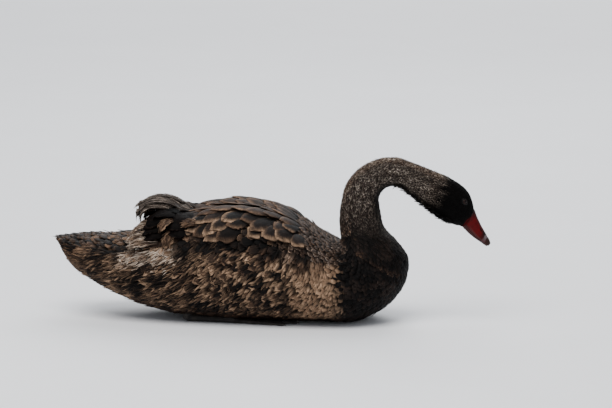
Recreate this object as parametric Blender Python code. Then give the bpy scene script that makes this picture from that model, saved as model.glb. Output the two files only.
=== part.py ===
"""Black swan, life size, resting on its belly with its neck arched forward and its bill down.

Metres, +Z up. +X runs from the tail to the bill and +Y to the bird's left. The origin is on the floor, under
the middle of the bird's length. One skin, a loft of sections from the tail to the bill, is parted into tail,
torso, neck lengths and head by thin cuts. Bill, eyes, wings and feet are set on it from the same sections, and
the feathers of wings and tail are blades rooted in a core that hugs that skin.
"""

import math
import random

import bmesh
import bpy
import numpy as np
from mathutils import Matrix, Vector

# Driving dimensions
TAIL_TIP = (-0.4175, 0.144)
BACK_HEIGHT = 0.2090
BODY_HALF_WIDTH = 0.134
BREAST_CENTRE = (0.138, 0.108)
BREAST_REACH = (0.126, 0.110)
BREAST_TUCK = 2.45
ARCH_CENTRE = (0.232, 0.221)
ARCH_RADIUS = 0.061
ARCH_END = math.radians(62)
NECK_TURN = math.radians(8)
NECK_PIVOT_X = 0.170
GAP = 0.0003
FLOOR = 0.0

# Sections of the body: x, back, belly, half width. The belly runs just under the floor, where it is cut flat.
BODY = (
    (-0.402, 0.1460, 0.1290, 0.026),
    (-0.387, 0.1485, 0.1080, 0.043),
    (-0.365, 0.1510, 0.0840, 0.058),
    (-0.335, 0.1525, 0.0630, 0.072),
    (-0.300, 0.153, 0.044, 0.087),
    (-0.240, 0.163, 0.021, 0.106),
    (-0.170, 0.185, 0.004, 0.121),
    (-0.090, BACK_HEIGHT, -0.003, 0.131),
    (-0.010, BACK_HEIGHT, -0.004, BODY_HALF_WIDTH),
    (0.060, 0.185, -0.003, 0.129),
)
# Half width of the breast's fanned sections, from the first to the neck's root
BREAST_HALF_WIDTHS = (0.121, 0.111, 0.098, 0.083, 0.068, 0.055, 0.046)
BREAST_SWEEP = (math.radians(-80), math.radians(24))
# The hollow between back and neck, which those sections turn about
NAPE_FOOT = ((0.100, 0.163), (0.119, 0.154), (0.1290, 0.1495), (0.1335, 0.150), (0.1345, 0.156),
             (0.1335, 0.165), (0.1322, 0.175))
# The neck's root above the breast: back x and z, front x and z, half width
NECK_ROOT = (0.1315, 0.190, 0.2165, 0.178, 0.0405)
# Thickness of the neck from back to front, and its half width, from the rise to the end of the arch
NECK_THICKNESS = (0.0735, 0.0675, 0.062, 0.057, 0.0545, 0.0525)
NECK_HALF_WIDTH = (0.0345, 0.0315, 0.029, 0.027, 0.026, 0.025)
# Sections of the head: crown x and z, throat x and z, half width
HEAD = (
    (0.3165, 0.2805, 0.2890, 0.2280, 0.0255),
    (0.3400, 0.2700, 0.3140, 0.2080, 0.0265),
    (0.3605, 0.2580, 0.3350, 0.1930, 0.0262),
    (0.3755, 0.2430, 0.3490, 0.1835, 0.0240),
    (0.3830, 0.2260, 0.3590, 0.1785, 0.0205),
    (0.3865, 0.2100, 0.3650, 0.1755, 0.0175),
)
# Sections of the bill: ridge x and z, chin x and z, half width
BILL = (
    (0.3868, 0.2096, 0.3652, 0.1752, 0.0168),
    (0.3930, 0.1930, 0.3745, 0.1650, 0.0152),
    (0.4005, 0.1775, 0.3855, 0.1560, 0.0142),
    (0.4085, 0.1635, 0.3965, 0.1485, 0.0142),
    (0.4145, 0.1525, 0.4060, 0.1420, 0.0132),
    (0.4172, 0.1455, 0.4125, 0.1390, 0.0085),
)
# The mouth's height and half of its gap, as shares of the bill's, the row that the bill starts at, and how
# many rows the lower bill is shorter
MOUTH_LEVEL, MOUTH_GAP = 0.27, 0.012
BILL_START = 0.03
LOWER_BILL_SHORT = 0.35
# A nostril: its row, angle from the ridge, half length, depth and half height
NOSTRIL = (2.15, math.radians(52), 0.0052, 0.003, 0.0018)

TORSO_SIDES, NECK_SIDES, HEAD_SIDES, BILL_SIDES, LOWER_BILL_SIDES = 34, 24, 24, 18, 12
TORSO_STEPS, NECK_STEPS, HEAD_STEPS, BILL_STEPS = 28, 8, 12, 10
WING_STEPS, WING_SIDES = 12, 9
BODY_WAIST, BODY_SQUARE = 0.45, 2.25
ROUND_WAIST, ROUND_SQUARE = 0.5, 2.0
BILL_SQUARE = 2.4

EYE_RADIUS = 0.0062
EYE_DEPTH = 0.0042
EYE_PLACE = (2.95, math.radians(62))
LID_RADIUS = 0.0053
LID_THICKNESS = 0.0011
LID_SINK = 0.0004
LID_SIDES = (14, 5)

# The wing's core: height over the body along its length, and across it from the back to its lower edge
WING_ALONG = ((-0.262, 0.0008), (-0.235, 0.004), (-0.190, 0.008), (-0.130, 0.0105), (-0.070, 0.0115),
              (-0.010, 0.0095), (0.040, 0.0065), (0.072, 0.0030), (0.092, 0.0006))
WING_ACROSS = ((3, 0.25), (12, 0.85), (24, 1.0), (40, 0.92), (50, 0.68), (57, 0.30), (62, 0.06))
WING_DEPTH = 0.006
# A wing's feathers lie in tiers, from the shoulder to the tertials: the tier's x, how many, the angles from
# the back that they span, length, width, and how far the highest and the lowest of them turn down
WING_TIERS = (
    (0.074, 4, 13, 40, 0.046, 0.034, 8, 40),
    (0.042, 5, 10, 41, 0.054, 0.036, 6, 48),
    (0.008, 5, 9, 41, 0.060, 0.038, 6, 50),
    (-0.028, 5, 8, 42, 0.066, 0.040, 5, 46),
    (-0.066, 5, 8, 44, 0.074, 0.041, 4, 36),
    (-0.108, 4, 18, 48, 0.092, 0.038, 2, 16),
)
PRIMARIES = (-0.160, 3, 38, 54, 0.116, 0.024, -2, 0)
# The raised tertials: x and angle of the root, length, width, pitch at the root and at the tip, and yaw
TERTIALS = (
    (-0.146, 10, 0.134, 0.042, 62, -66, 1),
    (-0.158, 22, 0.116, 0.044, 60, -76, 2),
    (-0.150, 34, 0.130, 0.043, 58, -70, 3),
    (-0.163, 46, 0.104, 0.040, 46, -62, 4),
    (-0.178, 13, 0.100, 0.038, 38, -48, 0),
    (-0.184, 29, 0.098, 0.038, 30, -44, 3),
    (-0.186, 43, 0.092, 0.036, 24, -36, 6),
)
# Tail feathers by layers from the top: how many, tip x and z, half spread at the tip, width, root x and z
TAIL_LAYERS = (
    (7, TAIL_TIP[0], TAIL_TIP[1], 0.040, 0.029, -0.336, 0.141),
    (5, -0.4110, 0.1350, 0.040, 0.032, -0.338, 0.124),
    (5, -0.4020, 0.1225, 0.036, 0.030, -0.340, 0.108),
    (3, -0.3910, 0.1075, 0.022, 0.030, -0.340, 0.094),
)
TAIL_COVERTS = (-0.306, 5, 0.056, 0.034)
BLADE_THICKNESS = 0.0011
BLADE_EDGE = 0.0006

# The legs lie folded under the flanks: heel, toe root, radius of the shank, toe lengths and their spread
HEEL = (-0.150, 0.067)
TOE_ROOT = (-0.058, 0.074)
SHANK_RADIUS = (0.0080, 0.0066)
TOES = ((0.098, 11), (0.118, -3), (0.092, -19))
TOE_RADIUS = (0.0048, 0.0026)
# Share of a toe's length before its claw, how far toes overlap the shank, radius and height of a claw's tip
TOE_SHARE = 0.9
TOE_LAP = 0.004
CLAW_TIP = (0.0006, 0.0009)
# How high over the floor, as a share of its radius, the middle of a lying limb is
SUNK = 0.8
THIGH_REACH = (0.012, -0.006, 0.026)
THIGH_RADIUS = (0.0082, 0.010, 0.013)
HIND_TOE_ROOT = (-0.004, -0.012, -0.0012)
HIND_TOE_REACH = (-0.009, -0.002, -0.002)
HIND_TOE_RADIUS = (0.0030, 0.0024, 0.0009)
WEB_THICKNESS = 0.0024
WEB_HOLLOW = 0.86

# How the feathers of a tier lie: heights of root and tip over the wing's core, the lift of the lower edge,
# and how far back the lowest of a tier is rooted
TIER_HEIGHTS = (-0.0035, 0.0045)
TIER_ROLL = 0.09
TIER_SLANT = 0.012
TERTIAL_SINK = 0.005
CUP = 0.07
TAIL_STEP = 0.0016
TAIL_ROOT_SHARE = 0.55
TAIL_ROUND = 0.022
TAIL_BOW = -0.004
TAIL_SIDES, TAIL_STEPS = 24, 6
# Shares of length and width along a feather
LAID_OUTLINE = ((0, 0.5), (0.48, 0.97), (0.84, 0.92), (1.0, 0.42))
CURLED_OUTLINE = ((0, 0.45), (0.20, 0.85), (0.42, 1.0), (0.64, 0.98), (0.86, 0.74), (1.0, 0.28))
TAIL_OUTLINE = ((0, 0.6), (0.5, 1.0), (0.86, 0.86), (1.0, 0.4))


def blend(values, t):
    """Row t of a table, on a smooth curve through its rows."""
    table = np.asarray(values, float)
    last = len(table) - 1
    i = int(min(max(math.floor(t), 0), last - 1))
    f = t - i
    a, b, c, d = (table[min(max(i + k, 0), last)] for k in (-1, 0, 1, 2))
    return 0.5 * (2 * b + (c - a) * f + (2 * a - 5 * b + 4 * c - d) * f**2 + (3 * b - a - 3 * c + d) * f**3)


def smooth(x):
    x = min(max(x, 0.0), 1.0)
    return x * x * (3 - 2 * x)


def spread(count):
    """Even places from -1 to 1."""
    return [2 * i / (count - 1) - 1 for i in range(count)]


def breast_front(sweep):
    """The breast's outline, which draws in towards the neck's root."""
    tuck = BREAST_TUCK if sweep > 0 else 1
    return (BREAST_CENTRE[0] + BREAST_REACH[0] * math.cos(sweep) ** tuck,
            BREAST_CENTRE[1] + BREAST_REACH[1] * math.sin(sweep))


def skin_rows():
    """The sections from tail to bill: back x and z, belly x and z, half width, waist, squareness."""
    rows = [(x, back, x, belly, half, BODY_WAIST, BODY_SQUARE) for x, back, belly, half in BODY]
    count = len(BREAST_HALF_WIDTHS)
    for i, (foot, half) in enumerate(zip(NAPE_FOOT, BREAST_HALF_WIDTHS)):
        share = i / (count - 1)
        front = breast_front(BREAST_SWEEP[0] + (BREAST_SWEEP[1] - BREAST_SWEEP[0]) * share)
        waist = BODY_WAIST + (ROUND_WAIST - BODY_WAIST) * share
        square = BODY_SQUARE + (ROUND_SQUARE - BODY_SQUARE) * share
        rows.append((*foot, *front, half, waist, square))
    rows.append((*NECK_ROOT, ROUND_WAIST, ROUND_SQUARE))
    steps = len(NECK_THICKNESS) - 1
    for i, (thick, half) in enumerate(zip(NECK_THICKNESS, NECK_HALF_WIDTH)):
        around = math.pi + (ARCH_END - math.pi) * i / steps
        out = (math.cos(around), math.sin(around))
        outer, inner = ARCH_RADIUS + thick / 2, ARCH_RADIUS - thick / 2
        rows.append((ARCH_CENTRE[0] + outer * out[0], ARCH_CENTRE[1] + outer * out[1],
                     ARCH_CENTRE[0] + inner * out[0], ARCH_CENTRE[1] + inner * out[1],
                     half, ROUND_WAIST, ROUND_SQUARE))
    rows += [(*row, ROUND_WAIST, ROUND_SQUARE) for row in HEAD]
    return rows


ROWS = skin_rows()
BREAST_ROW = len(BODY)
RISE_ROW = BREAST_ROW + len(BREAST_HALF_WIDTHS) + 1
NAPE_ROW = RISE_ROW + len(NECK_THICKNESS)
LAST_ROW = len(ROWS) - 1
# Where the skin is parted
TAIL_CUT = 4.0
NECK_CUT = RISE_ROW - 1.0
NECK_MIDDLE_CUT = RISE_ROW + 1.5
NECK_UPPER_CUT = RISE_ROW + 4.0
HEAD_CUT = NAPE_ROW + 0.0


def turned(point, t):
    """The neck turns a little to the bird's left on its way to the head."""
    yaw = NECK_TURN * smooth((t - BREAST_ROW - 4) / (NAPE_ROW - BREAST_ROW - 4))
    pivot = Vector((NECK_PIVOT_X, 0, 0))
    return pivot + Matrix.Rotation(yaw, 3, "Z") @ (point - pivot)


def section_point(row, angle, grow=0.0):
    """The point of a section at an angle from its back, positive to the left."""
    back_x, back_z, belly_x, belly_z, half, waist, square = row
    belly = Vector((belly_x, 0, belly_z))
    rise = Vector((back_x, 0, back_z)) - belly
    height, up = rise.length, rise.normalized()
    c, s = math.cos(angle), math.sin(angle)
    reach = height * ((1 - waist) if c > 0 else waist) + grow
    return (belly + rise * waist + up * reach * math.copysign(abs(c) ** (2 / square), c)
            + Vector((0, (half + grow) * math.copysign(abs(s) ** (2 / square), s), 0)))


def skin_point(t, angle, grow=0.0):
    return turned(section_point(blend(ROWS, t), angle, grow), t)


def side_line():
    """Rows and the x that the middle of the side reaches there, to read one from the other."""
    rows = np.linspace(0, BREAST_ROW + 4, 300)
    return rows, [skin_point(t, math.pi / 2).x for t in rows]


SIDE_ROWS, SIDE_X = side_line()


def body_point(side, x, degrees, grow):
    """The point of the body's skin beside x, at an angle from the back down to either side."""
    return skin_point(float(np.interp(x, SIDE_X, SIDE_ROWS)), side * math.radians(degrees), grow)


def wing_point(side, x, degrees, grow):
    """The point of the wing's core, or of the body where the core ends."""
    height = np.interp(x, *zip(*WING_ALONG)) * np.interp(abs(degrees), *zip(*WING_ACROSS))
    return body_point(side, x, degrees, float(height) + grow)


def cut_step(t):
    """How far in t half of the gap between two nodes is."""
    step = 0.01
    middle = [section_point(blend(ROWS, t + k * step), math.pi / 2) * Vector((1, 0, 1)) for k in (-1, 1)]
    return GAP / 2 * 2 * step / (middle[1] - middle[0]).length


def finish_mesh(name, mesh, material):
    """Makes an object of a bmesh, in triangles that face outwards, with its round sides smooth."""
    bmesh.ops.triangulate(mesh, faces=mesh.faces)
    bmesh.ops.recalc_face_normals(mesh, faces=mesh.faces)
    data = bpy.data.meshes.new(name)
    mesh.to_mesh(data)
    mesh.free()
    data.materials.append(material)
    data.shade_smooth()
    obj = bpy.data.objects.new(name, data)
    bpy.context.scene.collection.objects.link(obj)
    return obj


def loft(name, rings, material):
    """A closed body through rings of points in the same order, with flat ends."""
    mesh = bmesh.new()
    loops = [[mesh.verts.new(point) for point in ring] for ring in rings]
    for a, b in zip(loops, loops[1:]):
        for i in range(len(a)):
            j = (i + 1) % len(a)
            mesh.faces.new((a[i], a[j], b[j], b[i]))
    mesh.faces.new(loops[0])
    mesh.faces.new(loops[-1])
    return finish_mesh(name, mesh, material)


def skin_rings(rows, sides, grow=0.0):
    """The skin's sections at some rows, each as a ring of points."""
    return [[skin_point(t, 2 * math.pi * k / sides, grow) for k in range(sides)] for t in rows]


def skin_length(name, start, end, steps, sides, material, grow=0.0, on_floor=False):
    """The length of skin between two rows, with half of the gap left at both of its ends."""
    rows = np.linspace(start + cut_step(start), end - cut_step(end), steps + 1)
    rings = skin_rings(rows, sides, grow)
    if on_floor:
        rings = [[Vector((p.x, p.y, max(p.z, FLOOR))) for p in ring] for ring in rings]
    return loft(name, rings, material)


def combine(obj, others, operation, solver="MANIFOLD"):
    """Joins the others to obj or cuts them from it, applies that and removes them."""
    group = bpy.data.collections.new(obj.name + "_pieces")
    bpy.context.scene.collection.children.link(group)
    for other in others:
        group.objects.link(other)
        bpy.context.scene.collection.objects.unlink(other)
    modifier = obj.modifiers.new("combine", "BOOLEAN")
    modifier.operation = operation
    modifier.operand_type = "COLLECTION"
    modifier.collection = group
    modifier.solver = solver
    bpy.context.view_layer.update()
    graph = bpy.context.evaluated_depsgraph_get()
    made = bpy.data.meshes.new_from_object(obj.evaluated_get(graph))
    obj.modifiers.remove(modifier)
    obj.data = made
    for other in others:
        bpy.data.objects.remove(other)
    bpy.data.collections.remove(group)
    keep_largest(obj)


def keep_largest(obj):
    """Keeps the largest closed surface of a mesh and drops the rest."""
    mesh = bmesh.new()
    mesh.from_mesh(obj.data)
    seen, shells = set(), []
    for first in mesh.faces:
        if first in seen:
            continue
        shell, queue = [], [first]
        seen.add(first)
        while queue:
            face = queue.pop()
            shell.append(face)
            for edge in face.edges:
                for near in edge.link_faces:
                    if near not in seen:
                        seen.add(near)
                        queue.append(near)
        shells.append(shell)
    shells.sort(key=lambda shell: sum(face.calc_area() for face in shell), reverse=True)
    for shell in shells[1:]:
        bmesh.ops.delete(mesh, geom=shell, context="FACES")
    mesh.to_mesh(obj.data)
    mesh.free()
    obj.data.shade_smooth()


def material(name, colour, roughness):
    made = bpy.data.materials.new(name)
    made.use_nodes = True
    surface = made.node_tree.nodes["Principled BSDF"]
    surface.inputs["Base Color"].default_value = (*colour, 1)
    surface.inputs["Roughness"].default_value = roughness
    surface.inputs["Metallic"].default_value = 0.0
    return made


def ball(name, centre, radii, material, segments=14, rings=8):
    """An ellipsoid with the given half lengths."""
    mesh = bmesh.new()
    bmesh.ops.create_uvsphere(mesh, u_segments=segments, v_segments=rings, radius=1.0)
    bmesh.ops.scale(mesh, vec=radii, verts=mesh.verts)
    bmesh.ops.translate(mesh, vec=centre, verts=mesh.verts)
    return finish_mesh(name, mesh, material)


def tube(name, points, radii, material, sides=10, grow=0.0):
    """A round rod through points, with a radius at each, made larger all round by grow."""
    points = [Vector(p) for p in points]
    points[0] += (points[0] - points[1]).normalized() * grow
    points[-1] += (points[-1] - points[-2]).normalized() * grow
    rings = []
    for i, (point, radius) in enumerate(zip(points, radii)):
        along = (points[min(i + 1, len(points) - 1)] - points[max(i - 1, 0)]).normalized()
        spin = along.to_track_quat("X", "Z").to_matrix()
        rings.append([point + spin @ Vector((0, math.sin(a), math.cos(a))) * (radius + grow)
                      for a in (2 * math.pi * k / sides for k in range(sides))])
    return loft(name, rings, material)


def blade(name, rows, material):
    """A feather: a thin body through rows of one edge, middle, other edge, up, and share of thickness.

    Its upper and lower faces are split into the same triangles, so that they can't cross where it curves.
    """
    mesh = bmesh.new()
    loops = []
    for near, middle, far, up, share in rows:
        edge, rib = up * BLADE_EDGE / 2, up * BLADE_THICKNESS / 2 * share
        ring = (near + edge, middle + rib, far + edge, far - edge, middle - rib, near - edge)
        loops.append([mesh.verts.new(point) for point in ring])
    for a, b in zip(loops, loops[1:]):
        for i in range(6):
            j = (i + 1) % 6
            if i < 3:
                mesh.faces.new((a[i], a[j], b[j]))
                mesh.faces.new((a[i], b[j], b[i]))
            else:
                mesh.faces.new((a[i], a[j], b[i]))
                mesh.faces.new((a[j], b[j], b[i]))
    for end in (loops[0], loops[-1]):
        mesh.faces.new((end[0], end[1], end[4], end[5]))
        mesh.faces.new((end[1], end[2], end[3], end[4]))
    return finish_mesh(name, mesh, material)


def laid_blade(name, surface, side, place, size, turn, heights, roll, material):
    """A feather laid on a surface from its sunken root to its raised tip, with its lower edge lifted."""
    x, degrees = place
    length, width = size
    rows = []
    for s, share in LAID_OUTLINE:
        here = x - length * s * math.cos(turn)
        girth = float(blend(ROWS, float(np.interp(here, SIDE_X, SIDE_ROWS)))[4])
        rise = heights[0] + (heights[1] - heights[0]) * s
        points = []
        for across in (-1, 0, 1):
            offset = across * share * width / 2
            angle = degrees + math.degrees((length * s * math.sin(turn) + offset) / girth)
            points.append(surface(side, here, angle, rise + roll * offset))
        lift = surface(side, here, degrees, rise + 0.01) - surface(side, here, degrees, rise)
        rows.append((*points, lift.normalized(), 1 - 0.4 * s))
    return blade(name, rows, material)


def curled_blade(name, side, place, size, pitches, yaw, material):
    """A raised feather: it leaves the wing at one pitch, arches over backwards and hangs at another."""
    x, degrees = place
    length, width = size
    point = wing_point(side, x, degrees, -TERTIAL_SINK)
    out = (wing_point(side, x, degrees, TERTIAL_SINK) - point).normalized()
    across = (wing_point(side, x, degrees + 4, 0) - wing_point(side, x, degrees - 4, 0)).normalized()
    back = Vector((-1, 0, 0)) * math.cos(yaw) + across * math.sin(yaw)
    flat = across * math.cos(yaw) - Vector((-1, 0, 0)) * math.sin(yaw)
    rows, last = [], 0.0
    for s, share in CURLED_OUTLINE:
        pitch = pitches[0] + (pitches[1] - pitches[0]) * (s + last) / 2
        point = point + (back * math.cos(pitch) + out * math.sin(pitch)) * length * (s - last)
        pitch = pitches[0] + (pitches[1] - pitches[0]) * s
        up = out * math.cos(pitch) - back * math.sin(pitch)
        edge = flat * share * width / 2
        cup = up * CUP * share * width
        rows.append((point - edge - cup, point, point + edge - cup, up, 1 - 0.4 * s))
        last = s
    return blade(name, rows, material)


def wing_core(side, material):
    """A plate over the side of the body, thickest along the shoulder, that the feathers grow from."""
    angles = np.linspace(WING_ACROSS[0][0], WING_ACROSS[-1][0], WING_SIDES)
    rings = []
    for x in np.linspace(WING_ALONG[0][0], WING_ALONG[-1][0], WING_STEPS):
        outer = [wing_point(side, x, a, 0.0) for a in angles]
        inner = [body_point(side, x, a, -WING_DEPTH) for a in angles[::-4]]
        rings.append(outer + inner)
    return loft("wing_left" if side > 0 else "wing_right", rings, material)


def build_wing(side, body_cutter, feathers):
    """One folded wing: tiers of coverts and secondaries, the primaries' tips and the raised tertials."""
    draw = random.Random(11 + side)
    core = wing_core(side, feathers)
    blades = []
    for tier, (x, count, low, high, length, width, turn, last_turn) in enumerate(WING_TIERS + (PRIMARIES,)):
        for k, share in enumerate(spread(count)):
            degrees = (low + high) / 2 + (high - low) / 2 * share + draw.uniform(-0.8, 0.8)
            size = (length * draw.uniform(0.96, 1.04), width)
            down = (share + 1) / 2
            down_turn = math.radians(turn + (last_turn - turn) * down)
            blades.append(laid_blade(f"feather_{tier}_{k}", wing_point, side, (x - TIER_SLANT * down, degrees),
                                     size, down_turn, TIER_HEIGHTS, TIER_ROLL, feathers))
    for k, (x, degrees, length, width, low, high, yaw) in enumerate(TERTIALS):
        pitches = [math.radians(p + draw.uniform(-3, 3)) for p in (low, high)]
        size = (length * draw.uniform(0.96, 1.03), width)
        turn = math.radians(yaw)
        blades.append(curled_blade(f"tertial_{k}", side, (x, degrees), size, pitches, turn, feathers))
    combine(core, blades, "UNION")
    combine(core, [body_cutter], "DIFFERENCE")
    return core


def build_tail(feathers):
    """The tail: a core under its coverts, tail feathers in layers, and a tier of coverts over their roots."""
    rows = np.linspace(0, TAIL_CUT - cut_step(TAIL_CUT), TAIL_STEPS + 1)
    core = loft("tail", skin_rings(rows, TAIL_SIDES), feathers)
    blades = []
    for layer, (count, tip_x, tip_z, reach, width, root_x, root_z) in enumerate(TAIL_LAYERS):
        for k, share in enumerate(spread(count)):
            drop = TAIL_STEP * abs(k - (count - 1) / 2)
            root = Vector((root_x, reach * TAIL_ROOT_SHARE * share, root_z - drop))
            tip = Vector((tip_x + TAIL_ROUND * share**2, reach * share, tip_z - drop))
            middle = (root + tip) / 2 + Vector((0, 0, TAIL_BOW))
            along = (tip - root).normalized()
            flat = along.cross(Vector((0, 0, 1))).normalized()
            up = flat.cross(along).normalized()
            rows = []
            for s, part in TAIL_OUTLINE:
                point = root * (1 - s)**2 + middle * 2 * s * (1 - s) + tip * s**2
                edge = flat * part * width / 2
                rows.append((point - edge, point, point + edge, up, 1 - 0.4 * s))
            blades.append(blade(f"rectrix_{layer}_{k}", rows, feathers))
    x, count, length, width = TAIL_COVERTS
    for k, share in enumerate(spread(count)):
        side = 1 if share >= 0 else -1
        rise = TAIL_STEP * abs(k - (count - 1) / 2)
        blades.append(laid_blade(f"covert_{k}", body_point, side, (x, 60 * abs(share)), (length, width), 0.0,
                                 (-0.003 - rise / 2, 0.0035 - rise), 0.0, feathers))
    combine(core, blades, "UNION")
    return core


def toe_line(side, length, degrees):
    """A toe's root, middle and last joint, and the way it points."""
    way = math.radians(degrees)
    out = Vector((math.cos(way), side * math.sin(way), 0))
    start = Vector((TOE_ROOT[0], side * TOE_ROOT[1], TOE_RADIUS[0] * SUNK))
    end = start + out * length * TOE_SHARE
    end.z = TOE_RADIUS[1] * SUNK
    return [start - out * TOE_LAP, (start + end) / 2, end], out


def web_outline(side):
    """The web's outline on the floor: the toe root, then the toes' ends with a hollow edge between them."""
    root = Vector((TOE_ROOT[0], side * TOE_ROOT[1], 0))
    ends = [toe_line(side, length, degrees)[0][2] * Vector((1, 1, 0)) for length, degrees in TOES]
    points = [root - Vector((TOE_LAP, 0, 0))]
    for i, end in enumerate(ends):
        points.append(end)
        if i + 1 < len(ends):
            points.append(root + ((end + ends[i + 1]) / 2 - root) * WEB_HOLLOW)
    return points


def web(side, material, grow):
    """The skin between the toes, a thin plate on the floor."""
    mesh = bmesh.new()
    outline = web_outline(side)
    middle = sum(outline, Vector()) / len(outline)
    rims = []
    for z in (-WEB_THICKNESS / 2 - grow, WEB_THICKNESS + grow):
        edge = [p + (p - middle).normalized() * grow for p in outline]
        rims.append([mesh.verts.new((p.x, p.y, z)) for p in edge])
    for i in range(len(outline)):
        j = (i + 1) % len(outline)
        mesh.faces.new((rims[0][i], rims[0][j], rims[1][j], rims[1][i]))
    mesh.faces.new(rims[0])
    mesh.faces.new(rims[1])
    return finish_mesh("web", mesh, material)


def leg_pieces(side, material, grow=0.0):
    """The thigh, the shank, its foot and its claws as separate bodies, each made larger by grow."""
    mirror = Vector((1, side, 1))
    wide, slim = SHANK_RADIUS
    heel = Vector((HEEL[0], side * HEEL[1], wide * SUNK))
    root = Vector((TOE_ROOT[0], side * TOE_ROOT[1], slim * SUNK))
    shank = [heel.lerp(root, share) for share in (0, 0.15, 0.85, 1)]
    thigh = heel + Vector(THIGH_REACH) * mirror
    hind = root + Vector(HIND_TOE_ROOT) * mirror
    hind_tip = hind + Vector(HIND_TOE_REACH) * mirror
    pieces = [
        tube("shank", shank, (wide, slim, slim, slim * 1.15), material, 10, grow),
        tube("thigh", (heel, heel.lerp(thigh, 0.5), thigh), THIGH_RADIUS, material, 10, grow),
        tube("hind_toe", (root, hind, hind_tip), HIND_TOE_RADIUS, material, 6, grow),
        web(side, material, grow),
    ]
    thick, thin = TOE_RADIUS
    for n, (length, degrees) in enumerate(TOES):
        line, out = toe_line(side, length, degrees)
        pieces.append(tube(f"toe_{n}", line, (thick, (thick + thin) / 2, thin), material, 8, grow))
        tip = line[2] + out * length * (1 - TOE_SHARE)
        tip.z = CLAW_TIP[1]
        claw = (line[2] - out * TOE_LAP / 2, tip)
        pieces.append(tube(f"claw_{n}", claw, (thin * SUNK, CLAW_TIP[0]), material, 6, grow))
    return pieces


def fused(pieces, name):
    """The pieces as one body under one name."""
    first = pieces[0]
    combine(first, pieces[1:], "UNION")
    first.name = name
    return first


def build_leg(side, material):
    """A leg folded under the flank, its foot laid flat on the floor."""
    leg = fused(leg_pieces(side, material), "leg_left" if side > 0 else "leg_right")
    mesh = bmesh.new()
    bmesh.ops.create_cube(mesh, size=1.0)
    bmesh.ops.translate(mesh, vec=(0, 0, FLOOR - 0.5), verts=mesh.verts)
    combine(leg, [finish_mesh("below_floor", mesh, material)], "DIFFERENCE")
    return leg


def eye_centre(side):
    """The middle of the eyeball, a little under the skin of the head."""
    t, angle = NAPE_ROW + EYE_PLACE[0], side * EYE_PLACE[1]
    surface = skin_point(t, angle)
    inward = (skin_point(t, angle, -0.01) - surface).normalized()
    return surface + inward * EYE_DEPTH


def lid_ring(side, material):
    """The raised rim of the eyelids, a ring about the eye's own axis."""
    t, angle = NAPE_ROW + EYE_PLACE[0], side * EYE_PLACE[1]
    centre = eye_centre(side)
    axis = (skin_point(t, angle) - centre).normalized()
    spin = axis.to_track_quat("Z", "Y").to_matrix()
    around, across = LID_SIDES
    forward = centre + axis * (EYE_DEPTH - LID_SINK)
    mesh = bmesh.new()
    loops = []
    for i in range(around):
        a = 2 * math.pi * i / around
        out = Vector((math.cos(a), math.sin(a), 0))
        loops.append([mesh.verts.new(forward + spin @ (out * (LID_RADIUS + LID_THICKNESS * math.cos(b))
                                                       + Vector((0, 0, LID_THICKNESS * math.sin(b)))))
                      for b in (2 * math.pi * k / across for k in range(across))])
    for a, b in zip(loops, loops[1:] + loops[:1]):
        for i in range(across):
            j = (i + 1) % across
            mesh.faces.new((a[i], a[j], b[j], b[i]))
    return finish_mesh(f"lid_{side}", mesh, material)


def build_head(feathers):
    """The head, with raised lids round two sockets that the eyes sit in."""
    rows = np.linspace(HEAD_CUT + cut_step(HEAD_CUT), LAST_ROW, HEAD_STEPS + 1)
    head = loft("head", skin_rings(rows, HEAD_SIDES), feathers)
    combine(head, [lid_ring(side, feathers) for side in (1, -1)], "UNION")
    radius = EYE_RADIUS + GAP
    combine(head, [ball(f"socket_{side}", eye_centre(side), (radius,) * 3, feathers)
                   for side in (1, -1)], "DIFFERENCE")
    return head


def build_eyes(eye_material):
    for name, side in (("eye_left", 1), ("eye_right", -1)):
        ball(name, eye_centre(side), (EYE_RADIUS,) * 3, eye_material)


def bill_ring(t, start, end, count):
    """Part of a section of the bill, from one angle to another, closed by the straight line of the mouth."""
    row = (*blend(BILL, t), ROUND_WAIST, BILL_SQUARE)
    return [turned(section_point(row, angle), LAST_ROW) for angle in np.linspace(start, end, count)]


def mouth_angle(level):
    """The angle from the back at which a section reaches a share of its height."""
    return math.acos(-abs(1 - 2 * level) ** (BILL_SQUARE / 2))


def build_bill(horn):
    """Upper bill with nostrils, and lower bill, which meet along the mouth."""
    last = len(BILL) - 1
    edge = mouth_angle(MOUTH_LEVEL + MOUTH_GAP)
    rows = np.linspace(BILL_START, last, BILL_STEPS + 1)
    upper = loft("bill_upper", [bill_ring(t, edge, -edge, BILL_SIDES) for t in rows], horn)
    edge = mouth_angle(MOUTH_LEVEL - MOUTH_GAP)
    rows = np.linspace(BILL_START, last - LOWER_BILL_SHORT, BILL_STEPS + 1)
    loft("bill_lower", [bill_ring(t, edge, 2 * math.pi - edge, LOWER_BILL_SIDES) for t in rows], horn)
    t, angle, length, depth, height = NOSTRIL
    cuts = []
    for side in (1, -1):
        row = (*blend(BILL, t), ROUND_WAIST, BILL_SQUARE)
        ahead = (*blend(BILL, t + 0.5), ROUND_WAIST, BILL_SQUARE)
        place = turned(section_point(row, side * angle), LAST_ROW)
        along = (turned(section_point(ahead, side * angle), LAST_ROW) - place).normalized()
        cut = ball(f"nostril_{side}", (0, 0, 0), (length, depth, height), horn, 12, 8)
        cut.data.transform(Matrix.Translation(place) @ along.to_track_quat("X", "Z").to_matrix().to_4x4())
        cuts.append(cut)
    combine(upper, cuts, "DIFFERENCE")


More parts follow.
